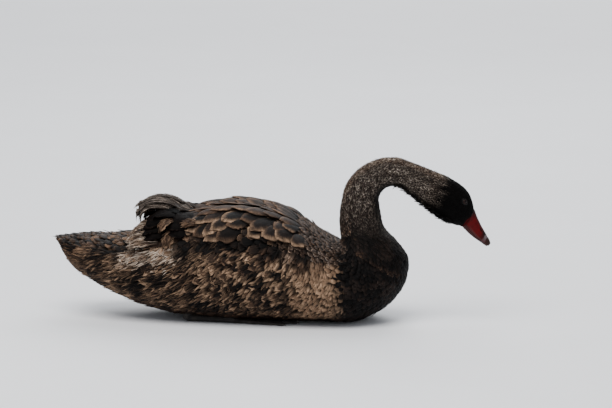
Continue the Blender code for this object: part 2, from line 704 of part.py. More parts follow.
def main():
    for obj in list(bpy.data.objects):
        bpy.data.objects.remove(obj)
    body_feathers = material("body_feathers", (0.085, 0.06, 0.045), 0.85)
    wing_feathers = material("wing_feathers", (0.075, 0.055, 0.042), 0.8)
    neck_feathers = material("neck_feathers", (0.035, 0.027, 0.022), 0.85)
    horn = material("bill_horn", (0.25, 0.02, 0.02), 0.4)
    eye = material("eye", (0.06, 0.015, 0.01), 0.1)
    leg_skin = material("leg_skin", (0.035, 0.032, 0.030), 0.6)

    torso = skin_length("torso", TAIL_CUT, NECK_CUT, TORSO_STEPS, TORSO_SIDES, body_feathers, on_floor=True)
    for side in (1, -1):
        build_leg(side, leg_skin)
        combine(torso, [fused(leg_pieces(side, body_feathers, GAP), "leg_room")], "DIFFERENCE")
        cutter = skin_length("body_room", TAIL_CUT, NECK_CUT, TORSO_STEPS, TORSO_SIDES, wing_feathers, GAP)
        build_wing(side, cutter, wing_feathers)
    build_tail(wing_feathers)
    skin_length("neck_lower", NECK_CUT, NECK_MIDDLE_CUT, NECK_STEPS, NECK_SIDES, neck_feathers)
    skin_length("neck_middle", NECK_MIDDLE_CUT, NECK_UPPER_CUT, NECK_STEPS, NECK_SIDES, neck_feathers)
    skin_length("neck_upper", NECK_UPPER_CUT, HEAD_CUT, NECK_STEPS, NECK_SIDES, neck_feathers)
    build_head(neck_feathers)
    build_eyes(eye)
    build_bill(horn)


main()
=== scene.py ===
"""Looks of a black swan in its first brown feathering, a still model that rests on its belly.

Metres, +Z up, +X towards the bill and +Y to the bird's left. One skin follows the same sections as the solids.
Feathers are thin closed vanes, laid over it row upon row along the lie of the coat, and bill, eyes, lids and
feet are set on the same form.
"""

from __future__ import annotations

import logging
import math
from dataclasses import dataclass
from enum import Enum

import bpy
import numpy as np
from mathutils import Matrix, Vector
from mathutils.kdtree import KDTree

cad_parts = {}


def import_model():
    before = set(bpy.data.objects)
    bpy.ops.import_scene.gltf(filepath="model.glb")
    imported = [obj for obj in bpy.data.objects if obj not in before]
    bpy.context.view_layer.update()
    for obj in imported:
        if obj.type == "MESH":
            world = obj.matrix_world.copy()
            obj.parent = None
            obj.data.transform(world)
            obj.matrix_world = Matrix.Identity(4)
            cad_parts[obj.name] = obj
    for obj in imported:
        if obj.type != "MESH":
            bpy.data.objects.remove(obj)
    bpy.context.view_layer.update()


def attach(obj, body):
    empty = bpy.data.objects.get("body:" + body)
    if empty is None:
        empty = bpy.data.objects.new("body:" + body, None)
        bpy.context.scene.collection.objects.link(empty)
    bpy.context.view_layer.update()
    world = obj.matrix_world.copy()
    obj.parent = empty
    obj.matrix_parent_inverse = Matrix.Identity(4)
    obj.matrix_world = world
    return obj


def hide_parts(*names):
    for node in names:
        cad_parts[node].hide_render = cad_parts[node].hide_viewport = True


LOG = logging.getLogger("swan")

Array = np.ndarray
Draw = np.random.Generator
Pair = tuple[float, float]
Pairs = tuple[Pair, ...]
# How many points along and across
Points = tuple[int, int]
Piece = bpy.types.Object
Finish = bpy.types.Material
Socket = bpy.types.NodeSocket

FULL_TURN = 2 * math.pi
MILLIMETRE = 0.001
SIDES = ((1, "left"), (-1, "right"))
# How wide a feather's patch is on the skin's unwrap
TUFT_PATCH = 0.003
# A reading of the form: place, ways out, along and round, the skin's height, its row's x, the root spacing
PLACE, OUT, ALONG, ROUND = slice(0, 3), slice(3, 6), slice(6, 9), slice(9, 12)
HEIGHT, BESIDE, SPACING = 12, 13, 14


def light(red: float, green: float, blue: float) -> Array:
    """A colour on the painter's scale of 0 to 255, as the amounts of light that it gives back."""
    share = np.array((red, green, blue)) / 255
    return np.where(share <= 0.04045, share / 12.92, ((share + 0.055) / 1.055) ** 2.4)


def smooth(x: Array) -> Array:
    """A soft step from 0 at 0 to 1 at 1."""
    x = np.clip(x, 0.0, 1.0)
    return x * x * (3 - 2 * x)


def grow(value: Array, start: float, reach: float) -> Array:
    """A soft step from 0 at the start to 1 at the end of the reach."""
    return smooth((value - start) / reach)


def fade(value: Array, start: float, reach: float) -> Array:
    """A soft step from 1 at the start to 0 at the end of the reach."""
    return 1 - grow(value, start, reach)


def off_back(angle: Array) -> Array:
    """Degrees from the back, on either side."""
    return np.degrees(np.abs(angle))


def between(pair: tuple, share: Array) -> Array:
    """The value at a share of the way from the first of a pair to the second."""
    return pair[0] + (pair[1] - pair[0]) * share


def along(pairs: Pairs, x: Array) -> Array:
    """The value at x on straight lines through pairs."""
    return np.interp(x, *zip(*pairs))


def blend(table: Array, t: Array) -> Array:
    """Rows of a table at each t, on a smooth curve through its rows.

    Args:
        table: Rows of numbers.
        t: Places between the rows, as fractional row numbers.

    Returns:
        One row for each t.
    """
    last = len(table) - 1
    i = np.clip(np.floor(t).astype(int), 0, last - 1)
    f = (t - i)[..., None]
    a, b, c, d = (table[np.clip(i + k, 0, last)] for k in (-1, 0, 1, 2))
    return 0.5 * (2 * b + (c - a) * f + (2 * a - 5 * b + 4 * c - d) * f**2 + (3 * b - a - 3 * c + d) * f**3)


def unit(vectors: Array) -> Array:
    """Vectors of the same ways and length 1."""
    return vectors / np.maximum(np.linalg.norm(vectors, axis=-1, keepdims=True), 1e-12)


@dataclass(frozen=True)
class SwanForm:
    """The bird's form, lofted through sections from the tail to the bill."""

    # Body: x, back, belly, half width
    body: tuple = (
        (-0.402, 0.146, 0.129, 0.026), (-0.387, 0.1485, 0.108, 0.043), (-0.365, 0.151, 0.084, 0.058),
        (-0.335, 0.1525, 0.063, 0.072), (-0.3, 0.153, 0.044, 0.087), (-0.24, 0.163, 0.021, 0.106),
        (-0.17, 0.185, 0.004, 0.121), (-0.09, 0.209, -0.003, 0.131), (-0.01, 0.209, -0.004, 0.134),
        (0.06, 0.185, -0.003, 0.129),
    )
    breast_half_widths: tuple = (0.121, 0.111, 0.098, 0.083, 0.068, 0.055, 0.046)
    breast_centre: tuple = (0.138, 0.108)
    breast_reach: tuple = (0.126, 0.11)
    breast_tuck: float = 2.45
    breast_sweep: tuple = (math.radians(-80), math.radians(24))
    nape_foot: tuple = ((0.1, 0.163), (0.119, 0.154), (0.129, 0.1495), (0.1335, 0.15), (0.1345, 0.156),
                        (0.1335, 0.165), (0.1322, 0.175))
    neck_root: tuple = (0.1315, 0.19, 0.2165, 0.178, 0.0405)
    arch_centre: tuple = (0.232, 0.221)
    arch_radius: float = 0.061
    arch_end: float = math.radians(62)
    neck_thickness: tuple = (0.0735, 0.0675, 0.062, 0.057, 0.0545, 0.0525)
    neck_half_width: tuple = (0.0345, 0.0315, 0.029, 0.027, 0.026, 0.025)
    neck_turn: float = math.radians(8)
    neck_pivot_x: float = 0.17
    # Head: crown x and z, throat x and z, half width
    head: tuple = (
        (0.3165, 0.2805, 0.289, 0.228, 0.0255), (0.34, 0.27, 0.314, 0.208, 0.0265),
        (0.3605, 0.258, 0.335, 0.193, 0.0262), (0.3755, 0.243, 0.349, 0.1835, 0.024),
        (0.383, 0.226, 0.359, 0.1785, 0.0205), (0.3865, 0.21, 0.365, 0.1755, 0.0175),
    )
    body_waist: float = 0.45
    body_square: float = 2.25
    round_waist: float = 0.5
    round_square: float = 2.0
    wing_along: Pairs = ((-0.262, 0.0008), (-0.235, 0.004), (-0.19, 0.008), (-0.13, 0.0105), (-0.07, 0.0115),
                         (-0.01, 0.0095), (0.04, 0.0065), (0.072, 0.003), (0.092, 0.0006), (0.11, 0.0))
    wing_across: Pairs = ((0, 0.1), (3, 0.25), (12, 0.85), (24, 1.0), (40, 0.92), (50, 0.68),
                          (57, 0.3), (64, 0.0))

    @property
    def breast_row(self) -> int:
        """The first row of the breast."""
        return len(self.body)

    @property
    def rise_row(self) -> int:
        """The row where the neck rises."""
        return self.breast_row + len(self.breast_half_widths) + 1

    @property
    def nape_row(self) -> int:
        """The row where the head starts."""
        return self.rise_row + len(self.neck_thickness)

    @property
    def last_row(self) -> int:
        """The row that the bill grows from."""
        return self.nape_row + len(self.head) - 1

    def table(self) -> Array:
        """Every section: back x and z, belly x and z, half width, waist, squareness."""
        rows = [(x, back, x, belly, half, self.body_waist, self.body_square)
                for x, back, belly, half in self.body]
        count = len(self.breast_half_widths)
        for i, (foot, half) in enumerate(zip(self.nape_foot, self.breast_half_widths)):
            share = i / (count - 1)
            sweep = between(self.breast_sweep, share)
            tuck = self.breast_tuck if sweep > 0 else 1
            front = (self.breast_centre[0] + self.breast_reach[0] * math.cos(sweep) ** tuck,
                     self.breast_centre[1] + self.breast_reach[1] * math.sin(sweep))
            rows.append((*foot, *front, half, between((self.body_waist, self.round_waist), share),
                         between((self.body_square, self.round_square), share)))
        rows.append((*self.neck_root, self.round_waist, self.round_square))
        steps = len(self.neck_thickness) - 1
        for i, (thick, half) in enumerate(zip(self.neck_thickness, self.neck_half_width)):
            around = math.pi + (self.arch_end - math.pi) * i / steps
            outer, inner = self.arch_radius + thick / 2, self.arch_radius - thick / 2
            c, s = math.cos(around), math.sin(around)
            x, z = self.arch_centre
            rows.append((x + outer * c, z + outer * s, x + inner * c, z + inner * s, half, self.round_waist,
                         self.round_square))
        rows += [(*row, self.round_waist, self.round_square) for row in self.head]
        return np.array(rows)

    def section(self, row: Array, angle: Array) -> Array:
        """Points of sections at angles from the back, positive to the left."""
        back_x, back_z, belly_x, belly_z, half, waist, square = np.moveaxis(row, -1, 0)
        rise_x, rise_z = back_x - belly_x, back_z - belly_z
        c, s = np.cos(angle), np.sin(angle)
        lift = waist + np.where(c > 0, 1 - waist, waist) * np.copysign(np.abs(c) ** (2 / square), c)
        return np.stack((belly_x + rise_x * lift, half * np.copysign(np.abs(s) ** (2 / square), s),
                         belly_z + rise_z * lift), axis=-1)

    def turned(self, points: Array, t: Array) -> Array:
        """The points after the neck's small turn to the left."""
        start = self.breast_row + 4
        yaw = self.neck_turn * smooth((t - start) / (self.nape_row - start))
        c, s = np.cos(yaw), np.sin(yaw)
        x, y = points[..., 0] - self.neck_pivot_x, points[..., 1]
        return np.stack((self.neck_pivot_x + x * c - y * s, x * s + y * c, points[..., 2]), axis=-1)

    def points(self, t: Array, angle: Array) -> Array:
        """Points of the outer surface."""
        return self.turned(self.section(blend(self.table(), t), angle), t)

    def wing_height(self, x: Array, angle: Array) -> Array:
        """How far a folded wing stands out from the body beside x."""
        return along(self.wing_along, x) * along(self.wing_across, off_back(angle))


@dataclass(frozen=True)
class CoatPlan:
    """How the coat changes over the bird: spacing, turn, depth, and the shape of each feather."""

    # Row and the distance between feather roots in millimetres
    spacing: Pairs = ((0, 7.2), (1, 7.8), (3, 8.6), (5, 9.0), (8, 9.0), (9, 8.0), (9.7, 6.8), (11, 5.6), (13, 4.9),
                      (16, 3.9), (17, 3.4), (18, 3.0), (20, 2.8), (24, 2.5), (25, 2.1), (26, 1.7), (29, 1.4))
    mantle_spacing: float = 6.6 * MILLIMETRE
    flank_spacing: float = 11.0 * MILLIMETRE
    # Row and a feather's length and width as shares of the spacing
    length_share: Pairs = ((0, 2.7), (16, 2.7), (18, 3.3), (24, 3.2), (26, 3.0), (29, 2.8))
    width_share: Pairs = ((0, 1.85), (16, 1.75), (18, 1.25), (24, 1.15), (26, 0.95), (29, 0.9))
    slope: Pairs = ((0, 0.15), (16, 0.16), (18, 0.13), (25, 0.12), (29, 0.11))
    depth_share: float = 0.4
    # Row and how far the feathers of the sides turn down, in degrees
    side_turn: Pairs = ((0, 0), (2, 10), (4, 20), (6, 22), (8, 22), (9.5, 34), (11, 32),
                        (13, 12), (16, 4), (18, 0))
    mantle_turn: float = 26.0
    # Row and how far the loose feathers of the throat stand out
    throat: Pairs = ((22.9, 0.0), (23.5, 0.0048), (24.0, 0.008), (25.0, 0.008), (26.0, 0.006), (27.0, 0.003),
                     (28.0, 0.0))
    # The bare skin behind the mouth: rows and its first angle in degrees
    gape_reach: float = 0.6
    gape_top: float = 62.0

    def fluff(self, t: Array, angle: Array) -> Array:
        """How far loose feathers thicken the throat."""
        return along(self.throat, t) * grow(off_back(angle), 95, 50)

    def gape(self, t: Array, degrees: Array, last_row: float) -> Array:
        """1 on the bare red skin behind the corners of the mouth, 0 elsewhere."""
        reach = self.gape_reach * grow(degrees, self.gape_top, 45) * (1 - 0.35 * grow(degrees, 150, 25))
        return ((t > last_row - reach) & (degrees > self.gape_top)).astype(float)

    def distance(self, t: Array, x: Array, angle: Array) -> Array:
        """The distance between roots, finer on the mantle and coarser on the flank."""
        plain = along(self.spacing, t) * MILLIMETRE
        degrees = off_back(angle)
        mantle = grow(x, 0.005, 0.03) * fade(degrees, 58, 10)
        flank = grow(x, -0.13, 0.05) * fade(x, 0.05, 0.03) * grow(degrees, 50, 10) * fade(degrees, 110, 12)
        plain = plain + np.maximum(self.flank_spacing - plain, 0) * flank
        return plain + (np.minimum(plain, self.mantle_spacing) - plain) * mantle

    def depth(self, spacing: Array) -> Array:
        """How far the skin lies under the tips of the coat."""
        return spacing * self.depth_share

    def turn(self, t: Array, x: Array, angle: Array) -> Array:
        """How far feathers turn from the body's length, positive to the left."""
        degrees = off_back(angle)
        side = grow(degrees, 12, 40) * fade(degrees, 125, 35)
        mantle = grow(x, 0.0, 0.03) * fade(x, 0.12, 0.03) * fade(degrees, 66, 14)
        down = along(self.side_turn, t) * side + self.mantle_turn * mantle * grow(degrees, 4, 16)
        return np.radians(down) * np.sign(angle)


class Lattice:
    """The form read once on a fine grid, for places, normals and lengths anywhere on it."""

    def __init__(self, form: SwanForm, plan: CoatPlan, rows: int = 1200, columns: int = 400) -> None:
        """Reads the form.

        Args:
            form: The bird's form.
            plan: The coat over it, for the depth of the skin.
            rows: Readings from tail to bill.
            columns: Readings round the body.
        """
        self.form, self.plan = form, plan
        self.rows, self.columns = rows, columns
        t = np.linspace(0, form.last_row, rows)
        angle = np.linspace(-math.pi, math.pi, columns + 1)
        tt, aa = np.meshgrid(t, angle, indexing="ij")
        place = form.points(tt, aa)
        forward = np.gradient(place, t, axis=0)
        wrapped = np.concatenate((place[:, -2:-1], place, place[:, 1:2]), axis=1)
        around = (wrapped[:, 2:] - wrapped[:, :-2]) / (2 * (angle[1] - angle[0]))
        normal = unit(np.cross(forward, around))
        place[..., 2] = np.maximum(place[..., 2], 0.0)
        side_rows = np.linspace(0, form.breast_row + 4, 300)
        self.side_rows = side_rows
        self.side_x = form.points(side_rows, np.full_like(side_rows, math.pi / 2))[:, 0]
        beside = np.where(tt <= side_rows[-1], np.interp(tt, side_rows, self.side_x), place[..., 0])
        spacing = plan.distance(tt, beside, aa)
        height = form.wing_height(beside, aa) * (tt < form.breast_row + 1) - plan.depth(spacing)
        height = height + plan.fluff(tt, aa)
        girth = np.linalg.norm(around, axis=-1)
        self.cells = np.concatenate((place, normal, forward, around, height[..., None], beside[..., None],
                                     spacing[..., None]), axis=-1)
        self.weight = np.linalg.norm(forward, axis=-1) * girth / spacing**2

    def read(self, t: Array, angle: Array) -> Array:
        """All readings at places on the form, straight between those of the grid."""
        low = np.clip(t, 0, self.form.last_row)
        u = low / self.form.last_row * (self.rows - 1)
        v = ((angle + math.pi) / FULL_TURN % 1.0) * self.columns
        i = np.minimum(u.astype(int), self.rows - 2)
        j = np.minimum(v.astype(int), self.columns - 1)
        fu, fv = (u - i)[..., None], (v - j)[..., None]
        cells = self.cells
        found = ((cells[i, j] * (1 - fv) + cells[i, j + 1] * fv) * (1 - fu)
                 + (cells[i + 1, j] * (1 - fv) + cells[i + 1, j + 1] * fv) * fu)
        found[..., PLACE] += (t - low)[..., None] * found[..., ALONG]
        return found

    def place(self, t: Array, angle: Array, height: Array) -> Array:
        """Points at a height over the outer surface."""
        found = self.read(t, angle)
        return found[..., PLACE] + found[..., OUT] * np.asarray(height)[..., None]

    def stretch(self, t: Array, angle: Array) -> tuple[Array, Array]:
        """Metres for each row and for each radian at places on the form."""
        found = self.read(t, angle)
        return np.linalg.norm(found[..., ALONG], axis=-1), np.linalg.norm(found[..., ROUND], axis=-1)

    def walk(self, t: Array, angle: Array, turn: Array, step: Array) -> tuple[Array, Array]:
        """Places one step further towards the tail, turned from the body's length."""
        gt, ga = self.stretch(t, angle)
        middle_t, middle_a = t - step / 2 * np.cos(turn) / gt, angle + step / 2 * np.sin(turn) / ga
        gt, ga = self.stretch(middle_t, middle_a)
        return t - step * np.cos(turn) / gt, angle + step * np.sin(turn) / ga

    def row_beside(self, x: Array) -> Array:
        """The row whose side lies at x."""
        return np.interp(x, self.side_x, self.side_rows)

    def unwrap(self, t: Array, angle: Array) -> Array:
        """Where places lie on the skin's own unwrap, from 0 to 1 both ways."""
        edge = TUFT_PATCH
        return np.stack((edge + (1 - 2 * edge) * np.clip(t / self.form.last_row, 0, 1),
                         edge + (1 - 2 * edge) * ((angle + math.pi) / FULL_TURN % 1.0)), axis=-1)

    def scatter(self, draw: Draw, crowd: float = 7.0) -> tuple[Array, Array]:
        """Roots spread evenly at the coat's own spacing, with none too near another.

        Args:
            draw: The source of random numbers.
            crowd: How many tries are made for each root.

        Returns:
            The rows and the angles of the roots.
        """
        share = self.weight[:-1, :-1]
        cell = (self.form.last_row / (self.rows - 1)) * (FULL_TURN / self.columns)
        tries = int(share.sum() * cell * crowd)
        flat = draw.choice(share.size, size=tries, p=(share / share.sum()).ravel())
        t = (flat // self.columns + draw.random(tries)) / (self.rows - 1) * self.form.last_row
        angle = (flat % self.columns + draw.random(tries)) / self.columns * FULL_TURN - math.pi
        found = self.read(t, angle)
        tree = KDTree(tries)
        for k, point in enumerate(found[:, PLACE].tolist()):
            tree.insert(point, k)
        tree.balance()
        free = np.ones(tries, bool)
        kept = []
        spacing = found[:, SPACING]
        for k in range(tries):
            if free[k]:
                kept.append(k)
                for _, near, _ in tree.find_range(found[k, PLACE], float(spacing[k])):
                    free[near] = False
        kept = np.array(kept)
        return t[kept], angle[kept]


def ragged_edge(draw: Draw, shape: tuple[int, int, int], v: Array) -> Array:
    """Notches where barbs have parted, in some rows of some feathers, deepest at the edge.

    Args:
        draw: The source of random numbers.
        shape: Feathers, rows and columns.
        v: Where the columns lie, from -1 to 1.

    Returns:
        The share of its width that a feather lacks at each point.
    """
    left, right = (np.clip((draw.random(shape[:2]) - 0.7) / 0.3, 0, 1)[..., None] for _ in range(2))
    return np.where(v < 0, left, right) * np.abs(v) ** 3


class Vane(Enum):
    """Outlines of feathers: shares of the length and of the width."""

    CONTOUR = ((0, 0.35), (0.2, 0.7), (0.45, 0.95), (0.65, 1.0), (0.8, 0.93), (0.9, 0.76),
               (0.97, 0.48), (1, 0.26))
    SLENDER = ((0, 0.4), (0.25, 0.85), (0.5, 1.0), (0.75, 0.85), (0.92, 0.5), (1, 0.16))
    SCAPULAR = ((0, 0.3), (0.2, 0.6), (0.42, 0.88), (0.62, 1.0), (0.76, 0.98), (0.87, 0.84),
                (0.95, 0.58), (1, 0.2))
    FLIGHT = ((0, 0.4), (0.12, 0.75), (0.4, 1.0), (0.75, 0.98), (0.9, 0.8), (0.97, 0.52), (1, 0.22))
    WISP = ((0, 0.55), (0.3, 1.0), (0.7, 0.75), (1, 0.08))

    def width(self, s: Array) -> Array:
        """The share of the full width at a share of the length."""
        return along(self.value, s)


@dataclass
class Plumes:
    """Feathers to lay, one value for each in every array."""

    row: Array
    angle: Array
    length: Array
    width: Array
    turn: Array
    slope: Array
    dark: Array
    pale: Array
    start: Array | float = 0.0
    sweep: Array | float = 0.0
    roll: Array | float = 0.0
    camber: Array | float = 0.12
    round_tip: float = 0.1
    jag: float = 0.05
    split: float = 0.0

    def some(self, chosen: Array) -> Plumes:
        """The chosen feathers."""
        count = len(self.row)
        values = {name: value[chosen] if isinstance(value, np.ndarray) and len(value) == count else value
                  for name, value in vars(self).items()}
        return Plumes(**values)


def paint(mesh: bpy.types.Mesh, title: str, colours: Array) -> None:
    """Gives a mesh's points colours under a name."""
    shades = np.ones((len(colours), 4), np.float32)
    shades[:, :3] = colours
    layer = mesh.color_attributes.new(name=title, type="FLOAT_COLOR", domain="POINT")
    layer.data.foreach_set("color", shades.ravel())


class VaneMesh:
    """Feathers of one count of rows and columns, joined to one mesh of closed thin bodies."""

    def __init__(self, rows: int, columns: int) -> None:
        """Starts an empty mesh of feathers with these rows and columns of points."""
        self.rows, self.columns = rows, columns
        self.parts: list[tuple[Array, ...]] = []

    def add(self, points: Array, dark: Array, pale: Array, roots: Array) -> None:
        """Adds feathers.

        Args:
            points: Points by feather, row and column.
            dark: The colour of each feather's middle.
            pale: The colour of its edge.
            roots: Each root's place on the skin's unwrap.
        """
        self.parts.append((points, dark, pale, roots))

    def lay(self, lattice: Lattice, plumes: Plumes, vane: Vane, draw: Draw) -> None:
        """Lays feathers over the skin, each along its own way, from a sunken root to a raised tip."""
        count, rows, columns = len(plumes.row), self.rows, self.columns
        if not count:
            return
        v = np.linspace(-1, 1, columns)
        reach = 1 - (1 - np.linspace(0, 1, rows)) ** 1.4
        t, angle = plumes.row, plumes.angle
        points = np.empty((count, rows, columns, 3))
        jag = draw.uniform(-1, 0.35, (count, columns)) * plumes.jag
        splits = ragged_edge(draw, (count, rows, columns), v) * plumes.split
        camber, roll = (np.broadcast_to(value, count)[:, None] for value in (plumes.camber, plumes.roll))
        for i, s in enumerate(reach):
            turn = plumes.turn + plumes.sweep * s
            c, d = np.cos(turn), np.sin(turn)
            if i:
                t, angle = lattice.walk(t, angle, turn, plumes.length * (s - reach[i - 1]))
            gt, ga = (part[:, None] for part in lattice.stretch(t, angle))
            half = (plumes.width / 2 * vane.width(s))[:, None]
            off = half * v * (1 - splits[:, i])
            run = plumes.length[:, None] * (-plumes.round_tip * v**2 * s**2 + jag * s**4)
            tt = t[:, None] + (off * d[:, None] - run * c[:, None]) / gt
            aa = angle[:, None] + (off * c[:, None] + run * d[:, None]) / ga
            rise = plumes.slope * plumes.length * s * (1.12 - 0.12 * s * s)
            height = (lattice.read(tt, aa)[..., HEIGHT] + np.asarray(plumes.start + rise)[:, None]
                      + camber * half * (1 - v**2) + roll * off * s)
            points[:, i] = lattice.place(tt, aa, height)
        points[..., 2] = np.maximum(points[..., 2], 0.0001)
        self.add(points, plumes.dark, plumes.pale, lattice.unwrap(plumes.row, plumes.angle))

    def build(self, name: str, finish: Finish, slot: str, *nodes: str) -> Piece:
        """Joins all feathers to one finished piece.

        Args:
            name: The piece's name.
            finish: Its material.
            slot: Its colour slot; not used.
            nodes: The nodes that it stands for.

        Returns:
            The new object.
        """
        points, dark, pale, roots = (np.concatenate(part) for part in zip(*self.parts))
        count, rows, columns = points.shape[:3]
        grid = np.arange(rows * columns).reshape(rows, columns)
        top = np.stack((grid[:-1, :-1], grid[:-1, 1:], grid[1:, 1:], grid[1:, :-1]), axis=-1).reshape(-1, 4)
        under = np.stack((grid[:-1, 0], grid[1:, 0], grid[1:, -1], grid[:-1, -1]), axis=-1)
        corners = np.concatenate((top.ravel(), under.ravel(), grid[0, ::-1], grid[-1]))
        sizes = np.array([4] * (len(top) + len(under)) + [columns] * 2)
        soft = np.array([True] * len(top) + [False] * (len(under) + 2))
        per_feather = rows * columns
        loops = (corners[None] + (np.arange(count) * per_feather)[:, None]).ravel()
        totals = np.tile(sizes, count)
        starts = np.concatenate(([0], np.cumsum(totals)[:-1]))
        mesh = bpy.data.meshes.new(name)
        mesh.vertices.add(count * per_feather)
        mesh.vertices.foreach_set("co", points.astype(np.float32).ravel())
        mesh.loops.add(len(loops))
        mesh.loops.foreach_set("vertex_index", loops.astype(np.int32))
        mesh.polygons.add(len(totals))
        mesh.polygons.foreach_set("loop_start", starts.astype(np.int32))
        mesh.polygons.foreach_set("loop_total", totals.astype(np.int32))
        mesh.update(calc_edges=True)
        mesh.polygons.foreach_set("use_smooth", np.tile(soft, count))
        across = np.stack((corners % columns / (columns - 1), corners // columns / (rows - 1)), axis=-1)
        bake = mesh.uv_layers.new(name="OFBake", do_init=False)
        patch = roots[:, None, :] + (across[None] - 0.5) * TUFT_PATCH
        bake.data.foreach_set("uv", patch.astype(np.float32).ravel())
        own = mesh.uv_layers.new(name="Vane", do_init=False)
        own.data.foreach_set("uv", np.tile(across, (count, 1)).astype(np.float32).ravel())
        for title, colour in (("Plume", dark), ("Fringe", pale)):
            paint(mesh, title, np.repeat(colour, per_feather, axis=0))
        mesh.materials.append(finish)
        obj = bpy.data.objects.new(name, mesh)
        bpy.context.scene.collection.objects.link(obj)
        LOG.info("%s: %d feathers", name, count)
        return settle(obj, finish, slot, *nodes)


class Graph:
    """A material's nodes, added and linked in short calls."""

    def __init__(self, name: str) -> None:
        """Starts a material with its surface shader."""
        self.material = bpy.data.materials.new(name)
        self.material.use_nodes = True
        self.tree = self.material.node_tree
        self.surface = self.tree.nodes["Principled BSDF"]

    def give(self, socket: Socket, value: object) -> None:
        """Sets or links an input."""
        if isinstance(value, Socket):
            self.tree.links.new(value, socket)
        else:
            socket.default_value = value

    def node(self, kind: str, inputs: dict | None = None, **settings: object) -> bpy.types.Node:
        """Adds a node, with settings, and values or links for its inputs."""
        made = self.tree.nodes.new(kind)
        for key, value in settings.items():
            setattr(made, key, value)
        for key, value in (inputs or {}).items():
            self.give(made.inputs[key], value)
        return made

    def math(self, operation: str, a: object, b: object = 0.0, clamp: bool = False) -> Socket:
        """One step of arithmetic."""
        return self.node("ShaderNodeMath", {0: a, 1: b}, operation=operation, use_clamp=clamp).outputs[0]

    def times(self, a: object, b: object) -> Socket:
        """A product."""
        return self.math("MULTIPLY", a, b)

    def plus(self, a: object, b: object, clamp: bool = False) -> Socket:
        """A sum."""
        return self.math("ADD", a, b, clamp)

    def minus(self, a: object, b: object) -> Socket:
        """A difference."""
        return self.math("SUBTRACT", a, b)

    def place(self) -> Socket:
        """The place on the bird."""
        return self.node("ShaderNodeTexCoord").outputs["Object"]

    def own(self, layer: str) -> tuple[Socket, Socket]:
        """Both values of a piece's own UV map."""
        split = self.node("ShaderNodeSeparateXYZ", {0: self.node("ShaderNodeUVMap", uv_map=layer).outputs[0]})
        return split.outputs[0], split.outputs[1]

    def cells(self, place: object, scale: float, reach: float) -> Socket:
        """1 on small plates and 0 in the creases between them."""
        made = self.node("ShaderNodeTexVoronoi", {"Vector": place, "Scale": scale}, feature="DISTANCE_TO_EDGE")
        return self.span(made.outputs["Distance"], 0.0, reach)

    def span(self, value: object, low: float, high: float, to_low: float = 0.0,
             to_high: float = 1.0) -> Socket:
        """A value's place between two others, softly stepped, on a new scale."""
        made = self.node("ShaderNodeMapRange", {"Value": value, "From Min": low, "From Max": high,
                                                "To Min": to_low, "To Max": to_high},
                         interpolation_type="SMOOTHSTEP")
        return made.outputs["Result"]

    def mix(self, share: object, a: object, b: object, blend_type: str = "MIX") -> Socket:
        """Two colours mixed."""
        made = self.node("ShaderNodeMix", data_type="RGBA", blend_type=blend_type)
        sockets = [s for s in made.inputs if s.enabled]
        for socket, value in zip(sockets, (share, a, b)):
            self.give(socket, value)
        return next(s for s in made.outputs if s.enabled)

    def grey(self, value: Socket) -> Socket:
        """A grey as light as a value."""
        return self.node("ShaderNodeCombineColor", {0: value, 1: value, 2: value}).outputs[0]

    def noise(self, vector: object, scale: float, detail: float = 3.0, roughness: float = 0.55) -> Socket:
        """A cloud of values from 0 to 1."""
        return self.node("ShaderNodeTexNoise", {"Vector": vector, "Scale": scale, "Detail": detail,
                                                "Roughness": roughness}).outputs[0]

    def bump(self, height: object, distance: float, strength: float = 1.0) -> None:
        """Raises the surface by a height."""
        made = self.node("ShaderNodeBump", {"Height": height, "Distance": distance, "Strength": strength})
        self.feed("Normal", made.outputs[0])

    def feed(self, name: str, value: object) -> None:
        """Sets or links an input of the surface shader."""
        self.give(self.surface.inputs[name], value)

    def dress(self, colour: object, roughness: object, gloss: float = 0.5) -> Finish:
        """Feeds the surface shader and gives the material."""
        self.feed("Base Color", colour)
        self.feed("Roughness", roughness)
        self.feed("Specular IOR Level", gloss)
        return self.material


